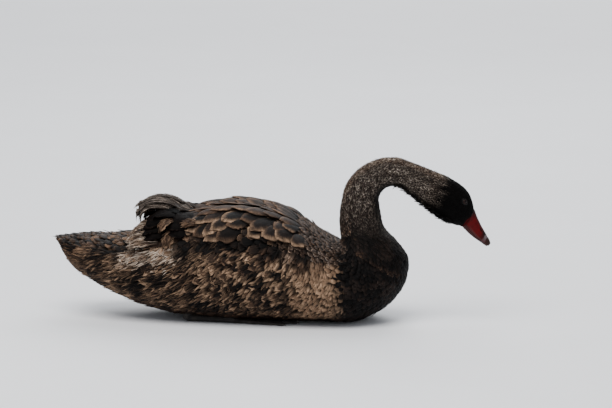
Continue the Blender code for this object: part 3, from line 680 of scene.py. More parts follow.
@dataclass(frozen=True)
class VaneFinish:
    """A feather's finish: a dark middle, paler bands and edge, fine barbs that slant from the shaft, and painted
    shade.
    """

    name: str
    roughness: float = 0.66
    edge: tuple = (0.78, 1.0)
    edge_strength: float = 0.9
    band: float = 0.22
    dusk: float = 0.35
    barbs: float = 80.0
    barb_contrast: float = 0.25
    barb_height: float = 0.00022
    shaft: float = 0.35
    cloud: float = 0.3
    # Painted shade over the root, where the feathers before it lie over it: how dark, and up to where along the
    # vane
    root_painted_shade: float = 0.1
    root_end: float = 0.62
    # Painted shadow in a thin dark line along the very edge
    edge_painted_shadow: float = 0.0
    gloss: float = 0.09
    white_tip: bool = False
    white: tuple = (0.4, 0.36, 0.31, 1)
    quill: tuple = (0.01, 0.006, 0.005, 1)

    def make(self) -> Finish:
        """The material."""
        g = Graph(self.name)
        x, y = g.own("Vane")
        side = g.math("ABSOLUTE", g.minus(g.times(x, 2.0), 1.0))
        place = g.place()
        slant = g.times(g.minus(y, g.times(side, 0.3)), self.barbs)
        barb_place = g.node("ShaderNodeCombineXYZ", {0: slant, 1: g.times(x, 2.2)}).outputs[0]
        apart = g.node("ShaderNodeVectorMath", {0: place, "Scale": 55.0}, operation="SCALE").outputs[0]
        barb = g.noise(g.node("ShaderNodeVectorMath", {0: barb_place, 1: apart}, operation="ADD").outputs[0],
                       1.0, 2.0, 0.6)
        ahead = g.math("MAXIMUM", g.times(g.minus(y, 0.4), 1.67), 0.0)
        out = g.math("SQRT", g.plus(g.math("POWER", side, 2.0), g.math("POWER", ahead, 2.0)))
        waver = g.plus(g.times(g.minus(g.noise(place, 260.0, 2.0), 0.5), 0.22),
                       g.times(g.minus(barb, 0.5), 0.3))
        out = g.plus(out, waver)
        outer = g.span(y, 0.25, 0.6)
        rim = g.times(g.span(out, *self.edge), outer)
        arc = g.times(g.times(g.span(out, 0.38, 0.52), g.span(out, 0.56, 0.7, 1.0, 0.0)),
                      g.times(outer, self.band))
        dark = g.node("ShaderNodeVertexColor", layer_name="Plume").outputs[0]
        pale = g.node("ShaderNodeVertexColor", layer_name="Fringe").outputs[0]
        share = g.plus(g.times(rim, self.edge_strength), arc, clamp=True)
        colour = g.mix(share, dark, pale)
        if self.white_tip:
            colour = g.mix(g.span(g.plus(y, waver), 0.84, 0.94), colour, self.white)
        dusk = g.times(g.span(out, 0.58, 0.78), g.span(out, 0.8, 0.95, self.dusk, 0.0))
        streak = g.span(barb, 0.3, 0.7, 1 - self.barb_contrast, 1 + self.barb_contrast)
        clouds = g.span(g.noise(place, 95.0, 2.0), 0.3, 0.7, 1 - self.cloud, 1 + self.cloud)
        shade = g.times(g.times(streak, clouds), g.minus(1.0, dusk))
        # Painted shade over the root, where the feathers before it lie over it
        shade = g.times(shade, g.span(y, 0.05, self.root_end, self.root_painted_shade, 1.0))
        # A painted shadow in a thin dark line along the very edge
        shade = g.times(shade, g.span(out, 0.93, 1.03, 1.0, 1 - self.edge_painted_shadow))
        colour = g.mix(1.0, colour, g.grey(shade), "MULTIPLY")
        shaft = g.times(g.span(side, 0.0, 0.06, 1.0, 0.0), self.shaft)
        colour = g.mix(shaft, colour, self.quill)
        g.bump(g.plus(barb, shaft), self.barb_height, 0.8)
        return g.dress(colour, self.roughness, self.gloss)


@dataclass(frozen=True)
class SkinFinish:
    """The skin and down under the feathers, in the coat's own markings."""

    name: str = "skin_down"
    fluff_height: float = 0.0006
    roughness: float = 0.9
    gloss: float = 0.1

    def make(self) -> Finish:
        """The material."""
        g = Graph(self.name)
        place = g.place()
        colour = g.node("ShaderNodeVertexColor", layer_name="Plume").outputs[0]
        fluff = g.noise(place, 520.0, 4.0)
        colour = g.mix(1.0, colour, g.grey(g.span(fluff, 0.3, 0.7, 0.55, 1.25)), "MULTIPLY")
        g.bump(fluff, self.fluff_height)
        return g.dress(colour, self.roughness, self.gloss)


@dataclass(frozen=True)
class BillFinish:
    """Bill horn: dark at its root, red along its middle, a dark and a pale band, and a brown nail."""

    name: str = "bill_red"
    root: tuple = (0.003, 0.0016, 0.0016, 1)
    dull: tuple = (0.02, 0.0012, 0.0012, 1)
    red: tuple = (0.082, 0.001, 0.0018, 1)
    band: tuple = (0.125, 0.1, 0.105, 1)
    nail: tuple = (0.024, 0.0095, 0.008, 1)
    rim: tuple = (0.066, 0.032, 0.03, 1)
    lower: tuple = (0.04, 0.015, 0.014, 1)
    # The nostril's painted shade, along and around: middle and reach
    nostril: tuple = ((0.52, 0.085), (0.46, 0.085))
    grain: float = 0.00025
    gloss: float = 0.09

    def make(self) -> Finish:
        """The material."""
        g = Graph(self.name)
        place = g.place()
        run, around = g.own("BillPlace")
        cloud = g.noise(place, 160.0, 4.0)
        fine = g.noise(place, 900.0, 3.0)
        wave = g.plus(run, g.times(g.minus(cloud, 0.5), 0.1))
        lead = g.plus(wave, g.times(around, 0.12))
        colour = g.mix(g.span(lead, 0.0, 0.1), self.root, self.dull)
        flank = g.times(g.span(lead, 0.03, 0.24), g.span(around, 0.02, 0.5, 0.22, 1.0))
        colour = g.mix(g.times(flank, g.span(cloud, 0.3, 0.6, 0.55, 1.0)), colour, self.red)
        # Painted shade in the nostril's hollow
        apart = [g.math("DIVIDE", g.minus(value, middle), reach)
                 for value, (middle, reach) in zip((run, around), self.nostril)]
        spot = g.plus(*(g.times(value, value) for value in apart))
        colour = g.mix(g.span(spot, 0.3, 1.2, 0.9, 0.0), colour, self.root)
        under = g.span(around, 1.0, 1.12)
        colour = g.mix(under, colour, self.lower)
        colour = g.mix(g.times(g.span(wave, 0.56, 0.65), g.span(around, 0.35, 0.95, 0.95, 0.45)),
                       colour, self.root)
        band = g.times(g.span(wave, 0.69, 0.73), g.span(wave, 0.79, 0.83, 1.0, 0.0))
        colour = g.mix(g.times(band, g.span(around, 0.45, 0.95, 0.9, 0.25)), colour, self.band)
        colour = g.mix(g.span(wave, 0.8, 0.86), colour, self.nail)
        colour = g.mix(g.times(g.span(fine, 0.45, 0.75), 0.3), colour, self.root)
        edge = g.times(g.span(around, 0.88, 0.97), g.span(around, 1.0, 1.06, 0.6, 0.0))
        colour = g.mix(g.times(edge, g.span(lead, 0.15, 0.4)), colour, self.rim)
        g.bump(g.plus(fine, g.times(cloud, 1.5)), self.grain, 0.7)
        return g.dress(colour, g.span(cloud, 0.2, 0.8, 0.36, 0.55), self.gloss)


@dataclass(frozen=True)
class EyeFinish:
    """A moist dark eye with a brown iris round its pupil."""

    name: str = "eye_wet"
    pupil: float = 0.34
    iris: float = 0.66
    black: tuple = (0.001, 0.001, 0.001, 1)
    inner: tuple = (0.006, 0.0022, 0.0012, 1)
    outer: tuple = (0.017, 0.0058, 0.003, 1)
    white: tuple = (0.003, 0.002, 0.002, 1)
    roughness: float = 0.08
    gloss: float = 0.12

    def make(self) -> Finish:
        """The material."""
        g = Graph(self.name)
        out, _ = g.own("EyePlace")
        spokes = g.noise(g.place(), 2600.0, 3.0)
        iris = g.mix(g.span(spokes, 0.35, 0.65), self.inner, self.outer)
        colour = g.mix(g.span(out, self.pupil - 0.02, self.pupil + 0.02), self.black, iris)
        colour = g.mix(g.span(out, self.iris - 0.06, self.iris + 0.04), colour, self.white)
        return g.dress(colour, self.roughness, self.gloss)


@dataclass(frozen=True)
class LidFinish:
    """Bare dark skin in small plates, paler where it is worn."""

    name: str = "lid_skin"
    colour: tuple = (0.0035, 0.003, 0.003, 1)
    crease: tuple = (0.004, 0.003, 0.003, 1)
    worn: tuple = (0.006, 0.005, 0.005, 1)
    worn_share: float = 0.5
    cloud_scale: float = 90.0
    cell_scale: float = 1800.0
    cell_reach: float = 0.14
    height: float = 0.00015
    gloss: float = 0.12

    def relief(self, g: Graph, place: Socket) -> Socket:
        """1 on the plates and 0 in the creases between them."""
        return g.cells(place, self.cell_scale, self.cell_reach)

    def make(self) -> Finish:
        """The material."""
        g = Graph(self.name)
        place = g.place()
        rise = self.relief(g, place)
        cloud = g.noise(place, self.cloud_scale, 4.0)
        # Crease colour between the plates; on the feet it is much darker, a painted shade
        colour = g.mix(rise, self.crease, self.colour)
        colour = g.mix(g.times(g.span(cloud, 0.45, 0.7), self.worn_share), colour, self.worn)
        g.bump(rise, self.height, 0.8)
        return g.dress(colour, g.span(cloud, 0.2, 0.8, 0.42, 0.62), self.gloss)


@dataclass(frozen=True)
class FootFinish(LidFinish):
    """Grey-black foot skin with cross plates along shank and toes and a fine net between them."""

    name: str = "foot_scales"
    colour: tuple = (0.02, 0.017, 0.016, 1)
    # Darker in the creases between the plates: painted shade
    crease: tuple = (0.005, 0.004, 0.004, 1)
    worn: tuple = (0.05, 0.042, 0.036, 1)
    worn_share: float = 0.6
    cloud_scale: float = 110.0
    cell_scale: float = 700.0
    cell_reach: float = 0.16
    height: float = 0.0004
    gloss: float = 0.3
    plate: float = 0.003

    def relief(self, g: Graph, place: Socket) -> Socket:
        """1 on the cross plates of the top and on the net of the rest."""
        run, around = g.own("FootPlace")
        top = g.span(g.math("ABSOLUTE", g.minus(around, 0.25)), 0.14, 0.18, 1.0, 0.0)
        plates = g.span(g.math("PINGPONG", run, self.plate), 0.0, self.plate * 0.3)
        net = g.cells(place, self.cell_scale, self.cell_reach)
        return g.plus(g.times(plates, top), g.times(net, g.minus(1.0, top)))


class Palette(Enum):
    """The coat's colours on the painter's scale."""

    BLACK = (4, 3, 3)
    SOOT = (12, 8, 7)
    UMBER = (30, 21, 17)
    BARK = (52, 38, 30)
    HAZEL = (83, 62, 48)
    FAWN = (119, 93, 73)
    BUFF = (157, 128, 103)
    DOVE = (158, 143, 131)
    SLATE = (50, 43, 39)
    ASH = (96, 86, 78)
    CHALK = (206, 191, 175)
    GARNET = (66, 6, 8)

    @property
    def shade(self) -> Array:
        """The colour as amounts of light."""
        return light(*self.value)


@dataclass(frozen=True)
class Tones:
    """Two colours that feathers of a region vary between, for their middles and for their edges."""

    middle: tuple[Palette, Palette]
    edge: tuple[Palette, Palette]

    def mixed(self, pair: tuple[Palette, Palette], share: Array) -> Array:
        """Colours between a pair."""
        return between([colour.shade for colour in pair], np.clip(share, 0, 1)[:, None])

    def pick(self, inner: Array, outer: Array) -> tuple[Array, Array]:
        """Colours of middles and edges at two shares."""
        return self.mixed(self.middle, inner), self.mixed(self.edge, outer)


class Markings:
    """Where the coat is dark, brown or pale, worked out from the place on the bird alone."""

    # Dark feathers that show on the flanks: x, z, reach along and up
    dark_spots: tuple = ((0.079, 0.134, 0.015, 0.021), (-0.055, 0.134, 0.015, 0.015), (0.02, 0.146, 0.018, 0.016),
                         (-0.01, 0.118, 0.015, 0.011), (-0.12, 0.098, 0.02, 0.01))
    # A pale line on the breast: x and z of its ends, half width
    breast_line: tuple = ((0.17, 0.144), (0.262, 0.095), 0.0022)
    plain: Tones = Tones((Palette.SOOT, Palette.HAZEL), (Palette.UMBER, Palette.BUFF))
    # The mottling: waves of each kind, and the least and greatest length of the broad and the fine ones
    waves_each: int = 14
    broad_waves: tuple = (0.022, 0.07)
    fine_waves: tuple = (0.007, 0.018)

    def __init__(self, form: SwanForm, plan: CoatPlan, seed: int = 5) -> None:
        """Draws the waves that the mottling is made of."""
        draw = np.random.default_rng(seed)
        self.form, self.plan = form, plan
        lengths = np.concatenate([draw.uniform(*kind, self.waves_each)
                                  for kind in (self.broad_waves, self.fine_waves)])
        self.waves = unit(draw.normal(size=(len(lengths), 3))) * (FULL_TURN / lengths[:, None])
        self.phases = draw.uniform(0, FULL_TURN, len(lengths))

    def mottle(self, place: Array, broad: Array | float = 1.0) -> Array:
        """Soft patches, about -1.5 to 1.5, of which the broad ones may be held back."""
        waves, each = np.sin(place @ self.waves.T + self.phases), self.waves_each
        return (waves[..., :each].sum(axis=-1) * broad + waves[..., each:].sum(axis=-1)) / math.sqrt(each)

    def zones(self, t: Array, degrees: Array, place: Array, patch: Array) -> list[tuple[Array, Tones]]:
        """The regions in the order in which each covers those before it, with how far it does; shadow is painted
        shade and nape is painted light.
        """
        x, z = place[:, 0], place[:, 2]
        mantle = smooth((x - 0.02 - 0.008 * patch) / 0.05) * fade(degrees, 56, 10)
        shoulder = grow(x, 0.045, 0.04) * grow(degrees, 52, 12)
        rump = fade(t, 2.6, 1.8)
        plume = grow(x, -0.266, 0.03) * fade(x, -0.162, 0.03) * grow(degrees, 48, 6)
        plume = plume * (1 - smooth((degrees - 61 - 5 * patch) / 7)) * 0.85
        belly = grow(degrees, 118, 30) * (t < 12)
        shadow = grow(degrees, 48, 5) * fade(degrees, 60, 6) * grow(x, -0.17, 0.03) * fade(x, 0.035, 0.02) * 0.85
        spots = np.zeros_like(x)
        for spot_x, spot_z, long, tall in self.dark_spots:
            away = ((x - spot_x) / long)**2 + ((z - spot_z) / tall)**2
            spots = np.maximum(spots, smooth((1.5 - away) / 0.9) * (t < 12) * 0.92)
        under = np.maximum(0.09 - z, 0)
        front = smooth((x - 0.143 - 0.006 * patch + 0.35 * under) / (0.012 + 0.3 * under)) * (t > 9)
        (ax, az), (bx, bz), half = self.breast_line
        share = np.clip(((x - ax) * (bx - ax) + (z - az) * (bz - az)) / ((bx - ax)**2 + (bz - az)**2), 0, 1)
        off = np.hypot(x - ax - share * (bx - ax), z - az - share * (bz - az))
        line = smooth((half * 2 - off) / half) * (t > 10) * (t < 17) * np.clip(0.55 + 0.3 * patch, 0.2, 0.95)
        rise = smooth((t - 15.9 - 0.35 * patch) / 2.9)
        # Painted light: the top of the neck's arch is lighter where the light from above and behind falls on it
        nape = grow(t, 17.5, 1.5) * fade(t, 24.0, 1.2) * fade(degrees, 28, 28) * 0.65
        throat = grow(t, 16.8, 1.5) * grow(degrees, 118, 34)
        face = smooth((t - 24.3 - 0.2 * patch) / 0.9)
        gape = self.plan.gape(t, degrees, self.form.last_row)
        p = Palette
        return [
            (mantle, Tones((p.UMBER, p.BARK), (p.FAWN, p.DOVE))),
            (shoulder, Tones((p.FAWN, p.BUFF), (p.BUFF, p.BUFF))),
            (rump, Tones((p.BLACK, p.BARK), (p.UMBER, p.FAWN))),
            (plume, Tones((p.FAWN, p.BUFF), (p.CHALK, p.CHALK))),
            (belly, Tones((p.UMBER, p.BARK), (p.BARK, p.HAZEL))),
            (shadow, Tones((p.BLACK, p.SOOT), (p.SOOT, p.UMBER))),
            (spots, Tones((p.BLACK, p.UMBER), (p.UMBER, p.HAZEL))),
            (front, Tones((p.BLACK, p.UMBER), (p.SOOT, p.SLATE))),
            (line, Tones((p.UMBER, p.BARK), (p.HAZEL, p.FAWN))),
            (rise, Tones((p.UMBER, p.SLATE), (p.ASH, p.CHALK))),
            # Painted light along the top of the neck
            (nape, Tones((p.BARK, p.HAZEL), (p.BUFF, p.CHALK))),
            (throat, Tones((p.BLACK, p.SOOT), (p.SOOT, p.SLATE))),
            (face, Tones((p.BLACK, p.BLACK), (p.BLACK, p.SOOT))),
            (gape, Tones((p.GARNET, p.GARNET), (p.GARNET, p.GARNET))),
        ]

    def colours(self, t: Array, angle: Array, place: Array, draw: Draw) -> tuple[Array, Array]:
        """The colours of a feather's middle and edge.

        Args:
            t: The root's row.
            angle: Its angle from the back.
            place: The root's place.
            draw: The source of random numbers.

        Returns:
            Middle colours and edge colours.
        """
        patch = self.mottle(place, 1 - 0.8 * grow(t, 15, 2)) + draw.normal(0, 0.5, len(t))
        inner, outer = 0.25 + 0.42 * patch, 0.35 + 0.4 * patch
        dark, pale = self.plain.pick(inner, outer)
        for share, tones in self.zones(t, off_back(angle), place, patch):
            middle, edge = tones.pick(inner, outer)
            dark, pale = between((dark, middle), share[:, None]), between((pale, edge), share[:, None])
        return dark, pale


def deselect() -> None:
    """Leaves nothing selected, in object mode."""
    if bpy.context.mode != "OBJECT":
        bpy.ops.object.mode_set(mode="OBJECT")
    bpy.ops.object.select_all(action="DESELECT")


def joined(parts: list[Piece], name: str) -> Piece:
    """Parts joined to one piece of that name."""
    deselect()
    for part in parts:
        part.select_set(True)
    bpy.context.view_layer.objects.active = parts[0]
    bpy.ops.object.join()
    obj = bpy.context.object
    obj.name = obj.data.name = name
    return obj


def corner_points(mesh: bpy.types.Mesh) -> Array:
    """The point at each corner of a mesh's faces."""
    corner = np.empty(len(mesh.loops), np.int32)
    mesh.loops.foreach_get("vertex_index", corner)
    return corner


def wrapped_sheet(name: str, places: Array, unwrap: Array, layer: str) -> Piece:
    """A grid shaped over a form, closed round it along its seam and filled at both ends.

    Args:
        name: The object's name.
        places: Points by row and column, with the last column on the first.
        unwrap: Their place on the unwrap.
        layer: The name of the UV map.

    Returns:
        The closed object.
    """
    deselect()
    rows, columns = places.shape[:2]
    bpy.ops.mesh.primitive_grid_add(x_subdivisions=columns - 1, y_subdivisions=rows - 1, size=1.0)
    obj = bpy.context.object
    obj.name = name
    mesh = obj.data
    mesh.name = name
    mesh.vertices.foreach_set("co", places.reshape(-1, 3).astype(np.float32).ravel())
    mesh.uv_layers[0].name = layer
    corners = unwrap.reshape(-1, 2)[corner_points(mesh)]
    mesh.uv_layers[0].data.foreach_set("uv", corners.astype(np.float32).ravel())
    mesh.update()
    bpy.ops.object.mode_set(mode="EDIT")
    bpy.ops.mesh.select_all(action="SELECT")
    bpy.ops.mesh.remove_doubles(threshold=1e-6)
    bpy.ops.mesh.select_all(action="DESELECT")
    bpy.ops.mesh.select_mode(type="EDGE")
    bpy.ops.mesh.select_non_manifold()
    bpy.ops.mesh.fill_holes(sides=0)
    bpy.ops.mesh.select_all(action="SELECT")
    bpy.ops.mesh.normals_make_consistent(inside=False)
    bpy.ops.object.mode_set(mode="OBJECT")
    bpy.ops.object.shade_smooth()
    return obj


def settle(obj: Piece, finish: Finish, slot: str, *nodes: str) -> Piece:
    """Gives a finished piece its material and body, and hides the nodes that it stands for."""
    if not obj.data.materials:
        obj.data.materials.append(finish)
    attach(obj, "root")
    if nodes:
        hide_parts(*nodes)
    LOG.info("%s: done", obj.name)
    return obj


@dataclass
class Skin:
    """The bird's skin, from the tail to the bill, under the coat."""

    lattice: Lattice
    markings: Markings
    rows: int = 420
    columns: int = 132
    seed: int = 3
    # Its colour: how far from a feather's middle towards its edge, and how light, kept dark as painted shade under
    # the coat
    edge_share: float = 0.15
    depth: float = 0.8

    def build(self) -> Piece:
        """The skin as one closed surface."""
        t = np.linspace(0, self.lattice.form.last_row, self.rows)
        angle = np.linspace(-math.pi, math.pi, self.columns + 1)
        tt, aa = np.meshgrid(t, angle, indexing="ij")
        found = self.lattice.read(tt, aa)
        places = found[..., PLACE] + found[..., OUT] * found[..., HEIGHT, None]
        places[:, -1] = places[:, 0]
        unwrap = self.lattice.unwrap(tt, np.clip(aa, -math.pi, math.pi - 1e-6))
        skin = wrapped_sheet("skin", places, unwrap, "OFBake")
        self.mark(skin)
        return settle(skin, SkinFinish().make(), "body_feathers", "torso", "tail", "neck_lower", "neck_middle",
                      "neck_upper", "head")

    def mark(self, skin: Piece) -> None:
        """Paints the coat's markings on the skin's points."""
        mesh = skin.data
        flat = np.empty(len(mesh.loops) * 2, np.float32)
        mesh.uv_layers[0].data.foreach_get("uv", flat)
        unwrap = np.zeros((len(mesh.vertices), 2))
        unwrap[corner_points(mesh)] = flat.reshape(-1, 2)
        t = unwrap[:, 0] * self.lattice.form.last_row
        angle = unwrap[:, 1] * FULL_TURN - math.pi
        found = self.lattice.read(t, angle)
        dark, pale = self.markings.colours(t, angle, found[:, PLACE], np.random.default_rng(self.seed))
        # The skin lies under the coat, so the depth factor darkens its colour as painted shade
        paint(mesh, "Plume", (dark + self.edge_share * (pale - dark)) * self.depth)


@dataclass
class EyeSocket:
    """Where an eye sits: on the head's own form, as the solids have it."""

    lattice: Lattice
    side: int
    radius: float = 0.0062
    depth: float = 0.0042
    row_ahead: float = 2.95
    angle: float = math.radians(62)

    def reading(self) -> Array:
        """The form's reading at the middle of the eye's opening."""
        t = np.array([self.lattice.form.nape_row + self.row_ahead])
        return self.lattice.read(t, np.array([self.side * self.angle]))[0]

    def surface(self) -> tuple[Array, Array]:
        """The middle of the eye's opening and the way that it looks."""
        found = self.reading()
        return found[PLACE], found[OUT]

    def ahead(self) -> Array:
        """The way along the head towards the bill."""
        return self.reading()[ALONG]

    def centre(self) -> Array:
        """The middle of the eyeball."""
        place, out = self.surface()
        return place - out * self.depth


@dataclass(frozen=True)
class CoatPiece:
    """A piece of the coat: its rows, degrees from the back, a feather's points, and whether it is halved."""

    title: str
    rows: Pair
    degrees: Pair = (0, 181)
    points: Points = (7, 7)
    vane: Vane = Vane.CONTOUR
    halved: bool = False


@dataclass
class Coat:
    """The small feathers of body, neck and head."""

    lattice: Lattice
    markings: Markings
    finish: Finish
    face_finish: Finish
    seed: int = 21
    eye_clearance: float = 0.0058
    neck_row: float = 17.0
    # How ragged the tips are, and how deep their edges are notched
    jag: float = 0.12
    flank_jag: float = 0.26
    split: float = 0.25
    pieces: tuple[CoatPiece, ...] = (
        CoatPiece("coat_tail", (0.0, 3.2)),
        CoatPiece("coat_back", (3.2, 9.0), (0, 62)),
        CoatPiece("coat_flank", (3.2, 9.0), (62, 128), halved=True),
        CoatPiece("coat_belly", (3.2, 9.0), (128, 181), (6, 7)),
        CoatPiece("coat_shoulder", (9.0, 10.6), halved=True),
        CoatPiece("coat_breast", (10.6, 17.0), points=(6, 7), halved=True),
        CoatPiece("coat_neck", (17.0, 24.0), points=(5, 5), vane=Vane.SLENDER),
        CoatPiece("coat_head", (24.0, 30.0), points=(4, 3), vane=Vane.SLENDER),
    )

    def plumes(self) -> Plumes:
        """Every small feather's place, size, lie and colours."""
        draw = np.random.default_rng(self.seed)
        lattice, plan = self.lattice, self.lattice.plan
        t, angle = lattice.scatter(draw)
        found = lattice.read(t, angle)
        clear = np.ones(len(t), bool)
        for side, _ in SIDES:
            middle, _ = EyeSocket(lattice, side).surface()
            clear &= np.linalg.norm(found[:, PLACE] - middle, axis=1) > self.eye_clearance
        clear &= plan.gape(t, off_back(angle), lattice.form.last_row) < 0.5
        t, angle, found = t[clear], angle[clear], found[clear]
        count = len(t)
        spacing, beside = found[:, SPACING], found[:, BESIDE]
        degrees = off_back(angle)
        dark, pale = self.markings.colours(t, angle, found[:, PLACE], draw)
        length = spacing * along(plan.length_share, t) * draw.uniform(0.85, 1.18, count)
        width = spacing * along(plan.width_share, t) * draw.uniform(0.85, 1.15, count)
        rear = smooth((6.8 - t) / 1.5) * grow(degrees, 50, 12) * (t > 1)
        length = length * (1 + 0.35 * rear)
        turn = plan.turn(t, beside, angle) + np.radians(draw.normal(0, 8, count))
        covered = grow(beside, -0.16, 0.02) * fade(beside, 0.055, 0.02) * (degrees < 44)
        slope = along(plan.slope, t) * draw.uniform(0.8, 1.25, count) + 0.1 * (draw.random(count) > 0.93)
        slope *= 1 - 0.55 * covered
        throat = (t > 22.6) * (t < 27) * grow(degrees, 130, 25)
        nape = (t > 18.5) * (t < 25.5) * fade(degrees, 14, 16)
        slope = slope + (0.42 * throat + 0.22 * nape) * draw.random(count)**2
        length = length * (1 + 0.5 * throat * draw.random(count))
        soft = grow(t, 2.6, 0.6) * fade(t, 9.4, 0.6) * grow(degrees, 54, 8)
        return Plumes(t, angle, length, width, turn, slope * (1 - 0.35 * soft), dark, pale,
                      start=-0.0003 - 0.0006 * covered, roll=draw.normal(0.0, 0.06, count),
                      camber=0.12 - 0.07 * soft, sweep=np.radians(draw.normal(0, 7, count)))

    def build(self) -> list[Piece]:
        """The coat in its pieces."""
        plumes = self.plumes()
        degrees = off_back(plumes.angle)
        made = []
        for piece in self.pieces:
            (low, high), (first, last) = piece.rows, piece.degrees
            region = (plumes.row >= low) & (plumes.row < high) & (degrees >= first) & (degrees < last)
            slot = "neck_feathers" if low >= self.neck_row else "body_feathers"
            finish = self.face_finish if "head" in piece.title else self.finish
            for side, half in SIDES if piece.halved else ((0, ""),):
                name = f"{piece.title}_{half}" if side else piece.title
                some = plumes.some(region & ((plumes.angle >= 0) == (side > 0)) if side else region)
                some.jag = self.flank_jag if "flank" in name else self.jag
                some.split = self.split
                mesh = VaneMesh(*piece.points)
                mesh.lay(self.lattice, some, piece.vane, np.random.default_rng(len(name)))
                made.append(mesh.build(name, finish, slot))
        return made


@dataclass(frozen=True)
class FeatherRow:
    """A row of wing feathers from front to rear: pairs are its front and rear values."""

    degrees: float
    x: Pair
    count: int
    length: Pair
    width: Pair
    turn: Pair
    tones: Tones
    slope: float = 0.1


@dataclass(frozen=True)
class Arch:
    """The line of a raised feather: its points, the ways out of it, along it and across it, and its root."""

    reach: Array
    points: Array
    up: Array
    ahead: Array
    flat: Array
    size: float
    root: Array

    def at(self, s: Array) -> tuple[Array, Array]:
        """Points and ways out at shares of the length, straight on past the tip."""
        points, up, ahead = (np.stack([np.interp(s, self.reach, part[:, k]) for k in range(3)], axis=-1)
                             for part in (self.points, self.up, self.ahead))
        return points + ahead * (np.maximum(s - 1, 0) * self.size)[..., None], up


@dataclass(frozen=True)
class Tertial:
    """A raised feather of the wing: its root's x and angle, size, pitch at root and tip, yaw."""

    x: float
    degrees: float
    length: float
    width: float
    pitch: Pair
    yaw: float
    tones: Tones
    droop: float = 0.16
    frays: int = 44


